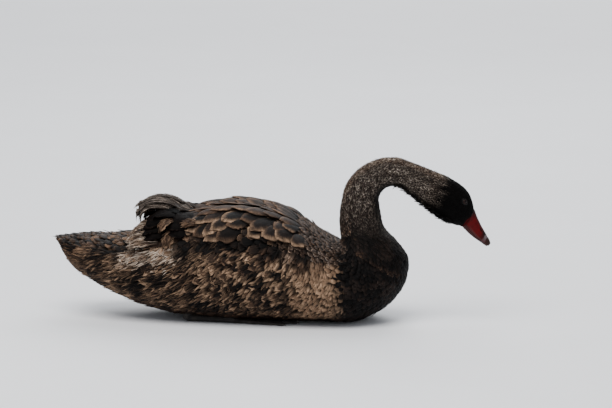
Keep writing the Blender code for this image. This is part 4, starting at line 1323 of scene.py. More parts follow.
@dataclass
class Wings:
    """The folded wings: scapulars, coverts, primaries' tips and the raised, curled tertials."""

    lattice: Lattice
    finish: Finish
    raised_finish: Finish
    # Finish of the near-black feathers that paint the shadow under the crest
    painted_shadow_finish: Finish
    tip_finish: Finish
    long_tones: Tones = Tones((Palette.UMBER, Palette.BARK), (Palette.BARK, Palette.FAWN))
    round_tones: Tones = Tones((Palette.BLACK, Palette.UMBER), (Palette.HAZEL, Palette.BUFF))
    fold_tones: Tones = Tones((Palette.BARK, Palette.HAZEL), (Palette.HAZEL, Palette.BUFF))
    crest_tones: Tones = Tones((Palette.UMBER, Palette.SLATE), (Palette.ASH, Palette.DOVE))
    # Dark feathers made near black as painted shadow under the crest's overhang
    painted_shadow_tones: Tones = Tones((Palette.BLACK, Palette.SOOT), (Palette.SOOT, Palette.UMBER))
    frayed_tones: Tones = Tones((Palette.UMBER, Palette.HAZEL), (Palette.BUFF, Palette.CHALK))
    seed: int = 40
    middle_seed: int = 90
    # Points of a feather: laid, primary, raised, and a loose barb
    laid_points: Points = (20, 15)
    tip_points: Points = (22, 11)
    raised_points: Points = (32, 17)
    barb_points: Points = (8, 3)
    # Degrees from the back of the first and last primary's tip
    tip_degrees: Pair = (33, 47)
    root_lift: float = 0.001

    def rows(self) -> list[FeatherRow]:
        """The laid rows, from the middle of the back down to the wing's edge."""
        return [
            FeatherRow(8, (0.056, -0.126), 9, (0.06, 0.098), (0.026, 0.031), (8, 2), self.long_tones),
            FeatherRow(16, (0.064, -0.122), 9, (0.056, 0.094), (0.031, 0.035), (22, 6), self.long_tones),
            FeatherRow(24.5, (0.07, -0.096), 8, (0.05, 0.072), (0.036, 0.04), (42, 14), self.round_tones),
            FeatherRow(33, (0.078, -0.094), 8, (0.048, 0.064), (0.039, 0.038), (54, 18),
                       self.round_tones, 0.12),
            FeatherRow(40, (-0.034, -0.106), 4, (0.056, 0.058), (0.034, 0.032), (34, 10), self.round_tones),
        ]

    def middle_row(self) -> FeatherRow:
        """The row along the middle of the back."""
        return FeatherRow(2.5, (0.052, -0.12), 9, (0.052, 0.086), (0.025, 0.029), (1, -1), self.long_tones)

    def tip_row(self) -> FeatherRow:
        """The tips of the long outer feathers."""
        return FeatherRow(0, (-0.152, -0.158), 5, (0.102, 0.096), (0.021, 0.02), (-6, -4),
                          self.long_tones, 0.085)

    def tertials(self) -> list[Tertial]:
        """The raised feathers: crest, a dark hollow under it filled with near-black feathers as painted shadow,
        and frayed ones behind and before the hollow.
        """
        crest, hollow, frayed, fold = self.crest_tones, self.painted_shadow_tones, self.frayed_tones, self.fold_tones
        return [
            Tertial(-0.141, 4, 0.058, 0.03, (64, -58), 3, crest, frays=24),
            Tertial(-0.139, 9, 0.054, 0.028, (60, -56), 6, crest, frays=24),
            Tertial(-0.152, 1, 0.124, 0.034, (60, -72), 0, crest, frays=24),
            Tertial(-0.152, 3.5, 0.132, 0.034, (60, -72), 0, crest),
            Tertial(-0.147, 8, 0.137, 0.036, (62, -72), 0, crest, frays=60),
            Tertial(-0.154, 13, 0.122, 0.03, (58, -70), 3, crest, frays=60),
            Tertial(-0.15, 6, 0.122, 0.024, (58, -50), 0, crest, frays=40),
            Tertial(-0.15, 10, 0.096, 0.026, (60, -42), 4, crest, frays=40),
            # Painted shadow: near-black feathers under the crest, where its overhang casts shade
            Tertial(-0.146, 3, 0.06, 0.036, (44, -56), 0, hollow, frays=0),
            Tertial(-0.15, 4, 0.116, 0.034, (58, -74), 0, hollow, frays=0),
            Tertial(-0.149, 11, 0.116, 0.034, (58, -74), 0, hollow, frays=0),
            Tertial(-0.156, 6, 0.088, 0.036, (54, -62), 0, hollow, frays=0),
            Tertial(-0.164, 10, 0.08, 0.034, (44, -60), 0, hollow, frays=0),
            Tertial(-0.148, 15, 0.094, 0.038, (58, -66), 6, hollow, frays=0),
            Tertial(-0.15, 20, 0.09, 0.036, (52, -62), 10, hollow, frays=0),
            Tertial(-0.154, 26, 0.088, 0.036, (42, -54), 12, hollow, frays=0),
            Tertial(-0.158, 32, 0.086, 0.034, (32, -46), 10, hollow, frays=0),
            Tertial(-0.164, 39, 0.078, 0.032, (20, -36), 6, hollow, frays=0),
            Tertial(-0.188, 7, 0.08, 0.028, (38, -76), 5, frayed, 0.24, 60),
            Tertial(-0.194, 14, 0.078, 0.026, (32, -70), 7, frayed, 0.24, 60),
            Tertial(-0.2, 21, 0.076, 0.024, (32, -62), 9, frayed, 0.24),
            Tertial(-0.206, 28, 0.07, 0.024, (22, -52), 8, frayed, 0.24),
            Tertial(-0.206, 35, 0.066, 0.022, (14, -40), 6, frayed, 0.2),
            Tertial(-0.188, 46, 0.074, 0.022, (14, -30), 6, frayed, 0.2),
            Tertial(-0.163, 31, 0.066, 0.024, (26, -58), 66, fold, 0.24),
            Tertial(-0.166, 21, 0.066, 0.022, (62, -52), 60, fold, 0.24),
            # More near-black feathers as painted shadow, in front of those
            Tertial(-0.126, 22, 0.056, 0.036, (27, -38), 8, hollow, frays=0),
            Tertial(-0.128, 29, 0.06, 0.036, (32, -42), 8, hollow, frays=0),
            Tertial(-0.13, 36, 0.056, 0.034, (28, -36), 6, hollow, frays=0),
            Tertial(-0.134, 43, 0.048, 0.03, (20, -30), 6, hollow, frays=0),
            Tertial(-0.116, 37, 0.046, 0.02, (44, -50), 4, fold, 0.2, 30),
        ]

    def row_plumes(self, side: int, row: FeatherRow, draw: Draw) -> Plumes:
        """One row of laid feathers on one side."""
        count = row.count
        share = np.linspace(0, 1, count)
        x = between(row.x, share) + draw.normal(0, 0.0038, count)
        angle = np.radians(row.degrees + draw.normal(0, 1.5, count))
        turn = np.radians(between(row.turn, share) + draw.normal(0, 6, count))
        size = draw.uniform(0.86, 1.12, count)
        dark, pale = row.tones.pick(draw.uniform(0, 1, count), draw.uniform(0.1, 1, count))
        return Plumes(self.lattice.row_beside(x), side * angle, between(row.length, share) * size,
                      between(row.width, share) * draw.uniform(0.88, 1.14, count), side * turn,
                      row.slope * draw.uniform(0.9, 1.15, count), dark, pale,
                      start=draw.uniform(0.0, 0.0012, count),
                      roll=side * (0.11 + draw.normal(0, 0.035, count)), camber=0.16,
                      sweep=side * np.radians(draw.normal(6, 8, count)), round_tip=0.12, jag=0.05, split=0.18)

    def primary_plumes(self, side: int, draw: Draw) -> Plumes:
        """The primaries' tips on one side, each a little further down than the one before."""
        row = self.tip_row()
        plumes = self.row_plumes(side, row, draw)
        plumes.angle = side * np.radians(np.linspace(*self.tip_degrees, row.count))
        plumes.split = 0.05
        return plumes

    def arch(self, plume: Tertial, side: int, reach: Array, draw: Draw) -> Arch:
        """The line along which a raised feather rises from its root and bends over backwards."""
        t = self.lattice.row_beside(np.array([plume.x]))
        angle = np.array([side * math.radians(plume.degrees)])
        found = self.lattice.read(t, angle)[0]
        out, across = found[OUT], unit(found[ROUND]) * side
        yaw = math.radians(plume.yaw + draw.normal(0, 3))
        behind = np.array([-1.0, 0, 0])
        back = behind * math.cos(yaw) + across * math.sin(yaw)
        size = plume.length * draw.uniform(0.94, 1.04)
        pitch = between([math.radians(p + draw.uniform(-5, 5)) for p in plume.pitch], reach)[:, None]
        middle = (pitch[1:] + pitch[:-1]) / 2
        steps = np.diff(reach)[:, None] * size * (back * np.cos(middle) + out * np.sin(middle))
        start = found[PLACE] + out * (found[HEIGHT] + self.root_lift)
        return Arch(reach, start + np.concatenate((np.zeros((1, 3)), np.cumsum(steps, axis=0))),
                    out * np.cos(pitch) - back * np.sin(pitch), back * np.cos(pitch) + out * np.sin(pitch),
                    across * math.cos(yaw) - behind * math.sin(yaw), size, self.lattice.unwrap(t, angle))

    def vane(self, mesh: VaneMesh, plume: Tertial, arch: Arch, side: int, draw: Draw) -> None:
        """Adds the wavy vane of a raised feather."""
        v, s = np.linspace(-1, 1, mesh.columns), arch.reach[:, None]
        half = plume.width / 2 * Vane.FLIGHT.width(s)
        bend, first, second = draw.uniform(0.6, 1.4), draw.uniform(0, FULL_TURN), draw.uniform(0, FULL_TURN)
        splits = ragged_edge(draw, (1, mesh.rows, mesh.columns), v)[0] * 0.3
        jag = draw.uniform(-0.1, 0.02, mesh.columns)
        ripple = np.sin(s * 9 * bend + v * 1.5 + first) * 0.0028 + np.sin(s * 23 + v * 3.0 + second) * 0.001
        drop = ripple * s * np.abs(v) - plume.droop * half * v**2
        run = arch.size * (jag * s**6 - 0.07 * v**2 * s**3)
        rows = (arch.points[:, None] + arch.flat * (half * v * side * (1 - splits))[..., None]
                + arch.up[:, None] * drop[..., None] + arch.ahead[:, None] * run[..., None])
        mesh.add(rows[None], *plume.tones.pick(draw.random(1), draw.random(1)), arch.root)

    def frays(self, mesh: VaneMesh, plume: Tertial, arch: Arch, side: int, draw: Draw) -> None:
        """Adds loose barbs over a raised feather, which part from it towards their tips."""
        size, s, v = (plume.frays, 1), np.linspace(0, 1, mesh.rows), np.linspace(-1, 1, mesh.columns)
        run = draw.uniform(0.12, 0.78, size) + draw.uniform(0.16, 0.34, size) * s
        points, up = arch.at(run)
        beside = draw.uniform(-0.95, 0.95, size) * (1 + draw.uniform(0, 0.35, size) * s**2)
        half = plume.width / 2 * (0.35 + 0.65 * Vane.FLIGHT.width(np.minimum(run, 1)))
        lift = 0.0006 + draw.uniform(0, 0.004, size) * s**2 - plume.droop * half * beside**2
        centre = points + arch.flat * (half * beside * side)[..., None] + up * lift[..., None]
        wide = (draw.uniform(0.0007, 0.0017, size) * Vane.WISP.width(s))[..., None]
        rows = (centre[:, :, None] + arch.flat * (wide * v * side)[..., None]
                + up[:, :, None] * (0.5 * wide * (1 - v**2))[..., None])
        tint = np.clip(draw.normal(0.3, 0.35, plume.frays), 0, 1)[:, None]
        shade = draw.random(plume.frays)
        dark, pale = plume.tones.pick(shade, shade)
        mesh.add(rows, between((dark, pale), tint), pale, np.repeat(arch.root, plume.frays, axis=0))

    def build(self) -> list[Piece]:
        """Both wings, each in pieces of laid feathers, of primaries and of tertials."""
        made = []
        for side, name in SIDES:
            draw, apart = (np.random.default_rng(seed + side) for seed in (self.seed, self.middle_seed))
            laid = VaneMesh(*self.laid_points)
            for row in self.rows():
                laid.lay(self.lattice, self.row_plumes(side, row, draw), Vane.SCAPULAR, draw)
            laid.lay(self.lattice, self.row_plumes(side, self.middle_row(), apart), Vane.SCAPULAR, apart)
            tips = VaneMesh(*self.tip_points)
            tips.lay(self.lattice, self.primary_plumes(side, draw), Vane.FLIGHT, draw)
            raised, hollow = (VaneMesh(*self.raised_points) for _ in range(2))
            loose = VaneMesh(*self.barb_points)
            reach = 1 - (1 - np.linspace(0, 1, raised.rows)) ** 1.2
            for plume in self.tertials():
                arch = self.arch(plume, side, reach, draw)
                self.vane(raised if plume.frays else hollow, plume, arch, side, draw)
                if plume.frays:
                    self.frays(loose, plume, arch, side, draw)
            made.append(laid.build(f"wing_{name}_scapulars", self.finish, "wing_feathers", f"wing_{name}"))
            for mesh, part, finish in ((tips, "primaries", self.tip_finish),
                                       (raised, "tertials", self.raised_finish),
                                       (loose, "frays", self.raised_finish),
                                       # The hollow piece holds the near-black feathers that are painted shadow
                                       # under the crest
                                       (hollow, "hollow", self.painted_shadow_finish)):
                made.append(mesh.build(f"wing_{name}_{part}", finish, "wing_feathers"))
        return made


@dataclass
class Tail:
    """The tail's own feathers, in layers from the top."""

    lattice: Lattice
    finish: Finish
    # Layers: how many, tip x and z, half spread at the tip, width, root x and z
    layers: tuple = (
        (9, -0.4175, 0.144, 0.04, 0.026, -0.336, 0.141),
        (8, -0.414, 0.1395, 0.04, 0.027, -0.336, 0.132),
        (7, -0.4095, 0.134, 0.04, 0.028, -0.338, 0.123),
        (6, -0.404, 0.126, 0.037, 0.028, -0.339, 0.114),
        (5, -0.3975, 0.117, 0.032, 0.028, -0.34, 0.104),
        (4, -0.39, 0.107, 0.024, 0.028, -0.34, 0.094),
    )
    step: float = 0.0016
    root_share: float = 0.55
    rounding: float = 0.022
    bow: float = -0.004
    tip_round: float = 0.14 * 0.08
    tones: Tones = Tones((Palette.SOOT, Palette.UMBER), (Palette.HAZEL, Palette.FAWN))
    seed: int = 60
    points: Points = (14, 9)

    def build(self) -> Piece:
        """All tail feathers as one piece."""
        draw = np.random.default_rng(self.seed)
        mesh = VaneMesh(*self.points)
        v = np.linspace(-1, 1, mesh.columns)
        for count, tip_x, tip_z, reach, width, root_x, root_z in self.layers:
            for share in np.linspace(-1, 1, count):
                drop = self.step * abs(share) * (count - 1) / 2
                root = np.array((root_x, reach * self.root_share * share, root_z - drop))
                tip = np.array((tip_x + self.rounding * share**2 + draw.uniform(0, 0.003),
                                reach * share + draw.normal(0, 0.001), tip_z - drop))
                middle = (root + tip) / 2 + np.array((0, 0, self.bow))
                way = unit(tip - root)
                flat = unit(np.cross(way, (0, 0, 1.0)))
                up = np.cross(flat, way)
                roll = draw.normal(0, 0.06)
                rows = []
                for s in np.linspace(0, 1, mesh.rows):
                    point = root * (1 - s)**2 + middle * 2 * s * (1 - s) + tip * s**2
                    half = width / 2 * Vane.FLIGHT.width(s)
                    lens = (0.1 * half * (1 - v**2) + roll * half * v)[:, None]
                    jag = draw.uniform(-0.0012, 0.0004, mesh.columns)
                    run = (-self.tip_round * v**2 * s**3 + jag * s**6)[:, None]
                    rows.append(point - flat * (half * v)[:, None] + up * lens + way * run)
                t = self.lattice.row_beside(np.array([root_x]))
                angle = np.array([math.atan2(root[1], 0.03)])
                mesh.add(np.array(rows)[None], *self.tones.pick(draw.random(1), draw.random(1)),
                         self.lattice.unwrap(t, angle))
        return mesh.build("tail_feathers", self.finish, "wing_feathers")


@dataclass(frozen=True)
class WispBand:
    """Loose feathers of one region: how many, where they root, and their least and greatest sizes."""

    title: str
    count: int
    rows: Pair
    degrees: Pair
    length: Pair
    width: Pair
    slope: Pair
    turn: float = 0.0
    start: Pair = (0.0008, 0.0022)
    # Row where they begin to thin out, and over how many rows
    thin: Pair = (90.0, 1.0)
    slot: str = "body_feathers"


@dataclass
class Wisps:
    """Loose feathers of both sides that stream over the coat or stand out from it."""

    lattice: Lattice
    markings: Markings
    finish: Finish
    face_finish: Finish
    bands: tuple[WispBand, ...] = (
        WispBand("rear_wisps", 2300, (2.2, 7.6), (50, 118), (0.022, 0.036), (0.002, 0.0048), (0.07, 0.13),
                 thin=(5.8, 1.8)),
        WispBand("flank_wisps", 1500, (5.4, 10.2), (55, 132), (0.014, 0.026), (0.004, 0.009), (0.05, 0.11),
                 turn=12),
        WispBand("throat_tufts", 170, (22.7, 26.8), (140, 180), (0.008, 0.013), (0.0022, 0.004), (0.25, 0.62),
                 start=(-0.001, 0), slot="neck_feathers"),
        WispBand("nape_tufts", 420, (18.6, 25.2), (0, 24), (0.005, 0.009), (0.0012, 0.0022), (0.12, 0.36),
                 start=(-0.001, 0), slot="neck_feathers"),
    )
    seed: int = 70
    points: Points = (7, 3)
    rear_length: float = 0.012

    def plumes(self, band: WispBand, side: int, draw: Draw) -> Plumes:
        """The loose feathers of a region on one side."""
        t = draw.uniform(*band.rows, band.count)
        t = t[draw.random(band.count) > smooth((t - band.thin[0]) / band.thin[1])]
        count = len(t)
        angle = side * np.radians(draw.uniform(*band.degrees, count))
        found = self.lattice.read(t, angle)
        dark, pale = self.markings.colours(t, angle, found[:, PLACE], draw)
        tint = 0.18 + 0.4 * self.markings.mottle(found[:, PLACE]) + draw.normal(0, 0.3, count)
        turn = self.lattice.plan.turn(t, found[:, BESIDE], angle)
        turn = turn + side * np.radians(draw.normal(band.turn, 9, count))
        length = draw.uniform(*band.length, count) + self.rear_length * smooth((6.5 - t) / 3)
        return Plumes(t, angle, length, draw.uniform(*band.width, count), turn, draw.uniform(*band.slope, count),
                      between((dark, pale), np.clip(tint, 0, 1)[:, None]), pale,
                      start=draw.uniform(*band.start, count), camber=0.25,
                      sweep=side * np.radians(draw.normal(8, 10, count)), round_tip=0.03, jag=0.1)

    def build(self) -> list[Piece]:
        """The loose feathers of each region and side."""
        made = []
        for band in self.bands:
            finish = self.face_finish if "throat" in band.title else self.finish
            for side, name in SIDES:
                draw = np.random.default_rng(self.seed + side)
                mesh = VaneMesh(*self.points)
                mesh.lay(self.lattice, self.plumes(band, side, draw), Vane.WISP, draw)
                made.append(mesh.build(f"{band.title}_{name}", finish, band.slot))
        return made


@dataclass
class Bill:
    """The bill: upper half with nail, nostrils and a fine edge, and the lower half."""

    form: SwanForm
    # Sections: ridge x and z, chin x and z, half width
    sections: tuple = (
        (0.3868, 0.2096, 0.3652, 0.1752, 0.0168), (0.393, 0.193, 0.3745, 0.165, 0.0152),
        (0.4005, 0.1775, 0.3855, 0.156, 0.0142), (0.4085, 0.1635, 0.3965, 0.1485, 0.0142),
        (0.4145, 0.1525, 0.406, 0.142, 0.0132), (0.4172, 0.1455, 0.4125, 0.139, 0.0085),
    )
    square: float = 2.4
    mouth_level: float = 0.27
    mouth_gap: float = 0.01
    # Nostril: row, angle, half length, half height, depth
    nostril: tuple = (2.15, math.radians(52), 0.005, 0.0016, 0.0024)
    nail_row: float = 3.55
    nail_height: float = 0.0006
    start_row: float = -0.22
    round_rows: float = 0.45
    ridge_length: float = 0.0712
    lower_short: float = 0.35

    @property
    def end_row(self) -> float:
        """The row of the tip."""
        return len(self.sections) - 1.0

    def mouth_angle(self, level: float) -> float:
        """The angle from the ridge at which a section reaches a share of its height."""
        return math.acos(-abs(1 - 2 * level) ** (self.square / 2))

    def ring(self, t: Array, angle: Array) -> Array:
        """Points of the bill's sections."""
        rows = blend(np.array(self.sections), t)
        rows = np.concatenate((rows, np.broadcast_to((self.form.round_waist, self.square),
                                                     rows.shape[:-1] + (2,))), axis=-1)
        return self.form.turned(self.form.section(rows, angle), np.full(t.shape, float(self.form.last_row)))

    def half(self, name: str, first: float, last: float, end_row: float, bow: float) -> Piece:
        """One half of the bill, closed along the mouth and rounded at its tip.

        Args:
            name: The piece's name.
            first: The angle where its outer face starts.
            last: The angle where it ends.
            end_row: The row of its tip.
            bow: How far its face in the mouth bows up.

        Returns:
            The closed piece.
        """
        outer, inner, rows = 72, 14, 160
        share = np.linspace(0, 1, rows)
        t = self.start_row + (end_row - self.start_row) * (1 - (1 - share) ** 1.5)
        tt, aa = np.meshgrid(t, np.linspace(first, last, outer), indexing="ij")
        places = self.ring(tt, aa)
        normal = unit(np.cross(np.gradient(places, axis=1), np.gradient(places, axis=0)))
        centre = places.mean(axis=1, keepdims=True)
        normal *= np.sign((normal * (places - centre)).sum(axis=-1, keepdims=True))
        places = places + normal * self.relief(tt, aa)[..., None]
        across = np.linspace(0, 1, inner + 2)[1:-1][None, :, None]
        floor = places[:, -1:] * (1 - across) + places[:, :1] * across
        up = unit(self.ring(t, np.zeros_like(t)) - self.ring(t, np.full_like(t, math.pi)))[:, None]
        floor = floor + up * bow * np.sin(math.pi * across)
        ring = np.concatenate((places, floor, places[:, :1]), axis=1)
        middle = ring[:, :-1].mean(axis=1, keepdims=True)
        past = np.clip((t - end_row + self.round_rows) / self.round_rows, 0, 1)[:, None, None]
        ring = middle + (ring - middle) * np.sqrt(1 - 0.985 * past**4)
        ridge = np.linalg.norm(np.diff(self.ring(t, np.zeros_like(t)), axis=0), axis=1)
        run = np.concatenate(([0], np.cumsum(ridge)))
        run = (run - np.interp(0, t, run)) / self.ridge_length
        unwrap = np.ones(ring.shape[:2] + (2,))
        unwrap[..., 0] = np.clip(run, 0, 1)[:, None]
        sides = np.abs(np.linspace(-1, 1, outer))
        unwrap[:, :outer, 1] = 2 - sides if first > 0 and last > first else sides
        return wrapped_sheet(name, ring, unwrap, "BillPlace")

    def relief(self, t: Array, angle: Array) -> Array:
        """The height of nail, nostrils, ridge and edge over the plain sections."""
        height = -0.0016 * smooth((0.1 - t) / 0.3)
        if angle.min() >= 0:
            groove = np.exp(-((angle - math.pi) / 0.35)**2) * grow(t, 0.1, 0.5)
            return height - 0.0008 * groove * fade(t, 3.4, 0.6)
        fold = np.abs(angle)
        row, place, length, tall, deep = self.nostril
        oval = ((t - row) * 0.017 / length)**2 + ((fold - place) * 0.015 / tall)**2
        height = height - deep * (1 - smooth(oval)) + 0.0004 * np.exp(-((oval - 1.6) / 0.7)**2)
        edge = self.nail_row + 0.45 * (fold / 0.9)**2
        height = height + self.nail_height * smooth((t - edge) / 0.12) * fade(fold, 1.2, 0.3)
        height = height + 0.0003 * np.exp(-(fold / 0.25)**2) * fade(t, 3.2, 0.4)
        lip = smooth((fold - self.mouth_angle(self.mouth_level) + 0.22) / 0.2) * fade(t, 4.2, 0.4)
        return height + 0.0005 * lip + 0.00012 * lip * np.sin(t * 62)

    def build(self, finish: Finish) -> list[Piece]:
        """Both halves."""
        edge = self.mouth_angle(self.mouth_level + self.mouth_gap)
        upper = self.half("bill_upper_horn", edge, -edge, self.end_row, 0.0014)
        edge = self.mouth_angle(self.mouth_level - self.mouth_gap)
        lower = self.half("bill_lower_horn", edge, FULL_TURN - edge, self.end_row - self.lower_short, -0.0003)
        return [settle(upper, finish, "bill_horn", "bill_upper"),
                settle(lower, finish, "bill_horn", "bill_lower")]


@dataclass
class Eye:
    """An eyeball and its lids."""

    socket: EyeSocket
    cornea_reach: float = 0.66
    cornea_height: float = 0.0005
    lid_radius: float = 0.0049
    lid_thickness: float = 0.0011
    lid_long: float = 1.1
    lid_tall: float = 0.84
    # Folds: size and thickness as shares, and how deep they lie
    folds: tuple = ((1.0, 1.0, 0.0003), (1.24, 0.7, 0.0009))

    def frame(self, centre: Array) -> Matrix:
        """Turns the eye's own axes to its place: x towards the bill and z outwards."""
        _, out = self.socket.surface()
        ahead = self.socket.ahead()
        ahead = unit(ahead - out * (ahead @ out))
        turn = Matrix([Vector(ahead), Vector(np.cross(out, ahead)), Vector(out)]).transposed().to_4x4()
        return Matrix.Translation(Vector(centre)) @ turn

    def ball(self, name: str, finish: Finish) -> Piece:
        """The eyeball, unwrapped by the distance from its pupil, with a raised cornea."""
        deselect()
        radius = self.socket.radius
        bpy.ops.mesh.primitive_uv_sphere_add(segments=64, ring_count=48, radius=radius)
        obj = bpy.context.object
        obj.name = obj.data.name = name
        obj.data.uv_layers[0].name = "EyePlace"
        for corner, uv in zip(obj.data.loops, obj.data.uv_layers[0].data):
            point = obj.data.vertices[corner.vertex_index].co
            uv.uv = (math.hypot(point.x, point.y) / radius if point.z > 0 else 1.0, 0.5)
        for point in obj.data.vertices:
            away = math.hypot(point.co.x, point.co.y) / radius
            if point.co.z > 0 and away < self.cornea_reach:
                point.co.z += self.cornea_height * (1 - (away / self.cornea_reach)**2)
        obj.data.transform(self.frame(self.socket.centre()))
        bpy.ops.object.shade_smooth()
        return settle(obj, finish, "eye", name.replace("ball_", ""))

    def lids(self, name: str, finish: Finish) -> Piece:
        """The lids, a soft almond rim with a second fold outside it."""
        place, out = self.socket.surface()
        parts = []
        for swell, thick, sink in self.folds:
            deselect()
            bpy.ops.mesh.primitive_torus_add(major_radius=self.lid_radius * swell,
                                             minor_radius=self.lid_thickness * thick, major_segments=64,
                                             minor_segments=16)
            obj = bpy.context.object
            for point in obj.data.vertices:
                share = point.co.x / (self.lid_radius * swell)
                point.co.x *= self.lid_long
                point.co.y *= self.lid_tall - 0.18 * min(share * share, 1.0)
            obj.data.transform(self.frame(place - out * sink))
            parts.append(obj)
        obj = joined(parts, name)
        bpy.ops.object.shade_smooth()
        return settle(obj, finish, "leg_skin")


@dataclass
class Foot:
    """A folded leg and webbed foot that lies flat on the floor beside the belly."""

    side: int
    heel: tuple = (-0.15, 0.067)
    toe_root: tuple = (-0.058, 0.074)
    shank_radius: tuple = (0.008, 0.0064)
    # Toes: length and degrees outwards, the outer one first
    toes: tuple = ((0.098, 11), (0.118, -3), (0.092, -19))
    toe_radius: tuple = (0.0047, 0.0025)
    toe_joints: tuple = (3, 4, 3)
    sunk: float = 0.8
    claw_length: float = 0.009
    claw_radius: float = 0.0021
    thigh_reach: tuple = (0.012, -0.006, 0.026)
    thigh_radius: tuple = (0.0082, 0.013)
    web_thickness: float = 0.002
    web_share: float = 0.9
    web_hollow: float = 0.1

    def tube(self, name: str, path: Array, radii: Array, sides: int = 20) -> Piece:
        """A round limb along a path, flattened where it rests on the floor."""
        way = unit(np.gradient(path, axis=0))
        across = unit(np.cross(way, (0.0, 0.0, 1.0)))
        up = np.cross(across, way)
        around = np.linspace(0, FULL_TURN, sides + 1)[None, :, None]
        ring = path[:, None] + radii[:, None, None] * (across[:, None] * np.cos(around)
                                                       + up[:, None] * np.sin(around))
        ring[..., 2] = np.maximum(ring[..., 2], 0.0)
        ring[:, -1] = ring[:, 0]
        run = np.concatenate(([0], np.cumsum(np.linalg.norm(np.diff(path, axis=0), axis=1))))
        unwrap = np.stack(np.broadcast_arrays(run[:, None], around[0, :, 0] / FULL_TURN), axis=-1)
        return wrapped_sheet(name, ring, unwrap, "FootPlace")

    def toe_way(self, toe: tuple) -> Array:
        """The level direction of a toe."""
        angle = math.radians(toe[1])
        return np.array((math.cos(angle), self.side * math.sin(angle), 0.0))

    def root(self) -> Array:
        """Where the toes meet."""
        return np.array((self.toe_root[0], self.side * self.toe_root[1], 0.0))

    def toe(self, name: str, toe: tuple, joints: int) -> list[Piece]:
        """A toe with its pads, and its claw."""
        length = toe[0]
        s = np.linspace(0, 1, 60)
        radii = between(self.toe_radius, s)
        radii = radii * (1 + 0.1 * np.cos(FULL_TURN * s * joints)) * np.sqrt(np.clip((1.02 - s) / 0.05, 0, 1))
        way = self.toe_way(toe)
        path = self.root() + way * (length * s)[:, None]
        path[:, 2] = self.sunk * between(self.toe_radius, s)
        s = np.linspace(0, 1, 24)
        claw = path[-3] + way * (self.claw_length * s)[:, None]
        claw[:, 2] += 0.001 * np.sin(math.pi * s * 0.8) - 0.0014 * s**2
        return [self.tube(name, path, radii),
                self.tube(f"{name}_claw", claw, self.claw_radius * (1 - s) ** 0.6 + 0.0002, 14)]

    def web(self, name: str, first: tuple, second: tuple) -> Piece:
        """The web between two toes, hollowed at its front edge and folded along its length."""
        rows, columns = 60, 25
        s, u = np.meshgrid(np.linspace(0, 1, rows), np.linspace(0, 1, columns), indexing="ij")
        hollow = 1 - self.web_hollow * np.sin(math.pi * u) * s**3
        ends = [self.root() + self.toe_way(toe) * toe[0] * self.web_share for toe in (first, second)]
        reach = (s * hollow)[..., None]
        flat = self.root() + reach * (ends[0] * (1 - u[..., None]) + ends[1] * u[..., None] - self.root())
        sag = 0.5 + 0.5 * np.cos(FULL_TURN * u) + 0.12 * np.sin(FULL_TURN * u * 5) * np.sin(math.pi * u)
        top, under = flat.copy(), flat.copy()
        top[..., 2] = 0.0006 + self.web_thickness * (0.45 + 0.55 * sag) * (1 - 0.35 * s)
        under[..., 2] = 0.0
        ring = np.concatenate((top, under[:, ::-1], top[:, :1]), axis=1)
        unwrap = np.stack((np.concatenate((s, s[:, ::-1], s[:, :1]), axis=1),
                           np.concatenate((u, u[:, ::-1], u[:, :1]), axis=1)), axis=-1)
        return wrapped_sheet(name, ring, unwrap, "FootPlace")

    def build(self, name: str, finish: Finish) -> Piece:
        """The whole leg as one piece."""
        heel = np.array((self.heel[0], self.side * self.heel[1], self.sunk * self.shank_radius[0]))
        reach = np.array(self.thigh_reach) * (1, self.side, 1)
        s = np.linspace(0, 1, 40)
        bend = np.clip(s / 0.3, 0, 1)[:, None]
        end = self.root() + (0.003, 0, self.sunk * self.shank_radius[1])
        shank = between((heel, end), s[:, None])
        radii = between(self.shank_radius, s)
        radii = radii * (1 + 0.14 * np.exp(-(s / 0.1)**2) - 0.16 * np.sin(math.pi * s))
        radii = radii * np.sqrt(np.clip((np.minimum(s, 1 - s) + 0.004) / 0.04, 0, 1))
        thigh = heel + reach * s[:, None] - (1 - bend) * reach * 0.15
        wide = between(self.thigh_radius, s)
        parts = [self.tube(name, shank, radii, 28), self.tube(f"{name}_thigh", thigh, wide * 0.95, 24)]
        for i, (toe, joints) in enumerate(zip(self.toes, self.toe_joints)):
            parts += self.toe(f"{name}_toe_{i}", toe, joints)
        for i, pair in enumerate(zip(self.toes, self.toes[1:])):
            parts.append(self.web(f"{name}_web_{i}", *pair))
        return settle(joined(parts, name), finish, "leg_skin", name.replace("foot", "leg"))


@dataclass(frozen=True)
class Lamp:
    """A soft square light: where it is, its size and power, and where it looks."""

    name: str
    place: tuple
    size: float
    power: float
    colour: tuple = (1, 1, 1)
    towards: tuple = (0.05, 0, 0.14)

    def build(self) -> None:
        """The light."""
        data = bpy.data.lights.new(self.name, "AREA")
        data.size, data.energy, data.color = self.size, self.power, self.colour
        obj = bpy.data.objects.new(self.name, data)
        obj.location = self.place
        obj.rotation_euler = (Vector(self.towards) - Vector(self.place)).to_track_quat("-Z", "Y").to_euler()
        bpy.context.scene.collection.objects.link(obj)


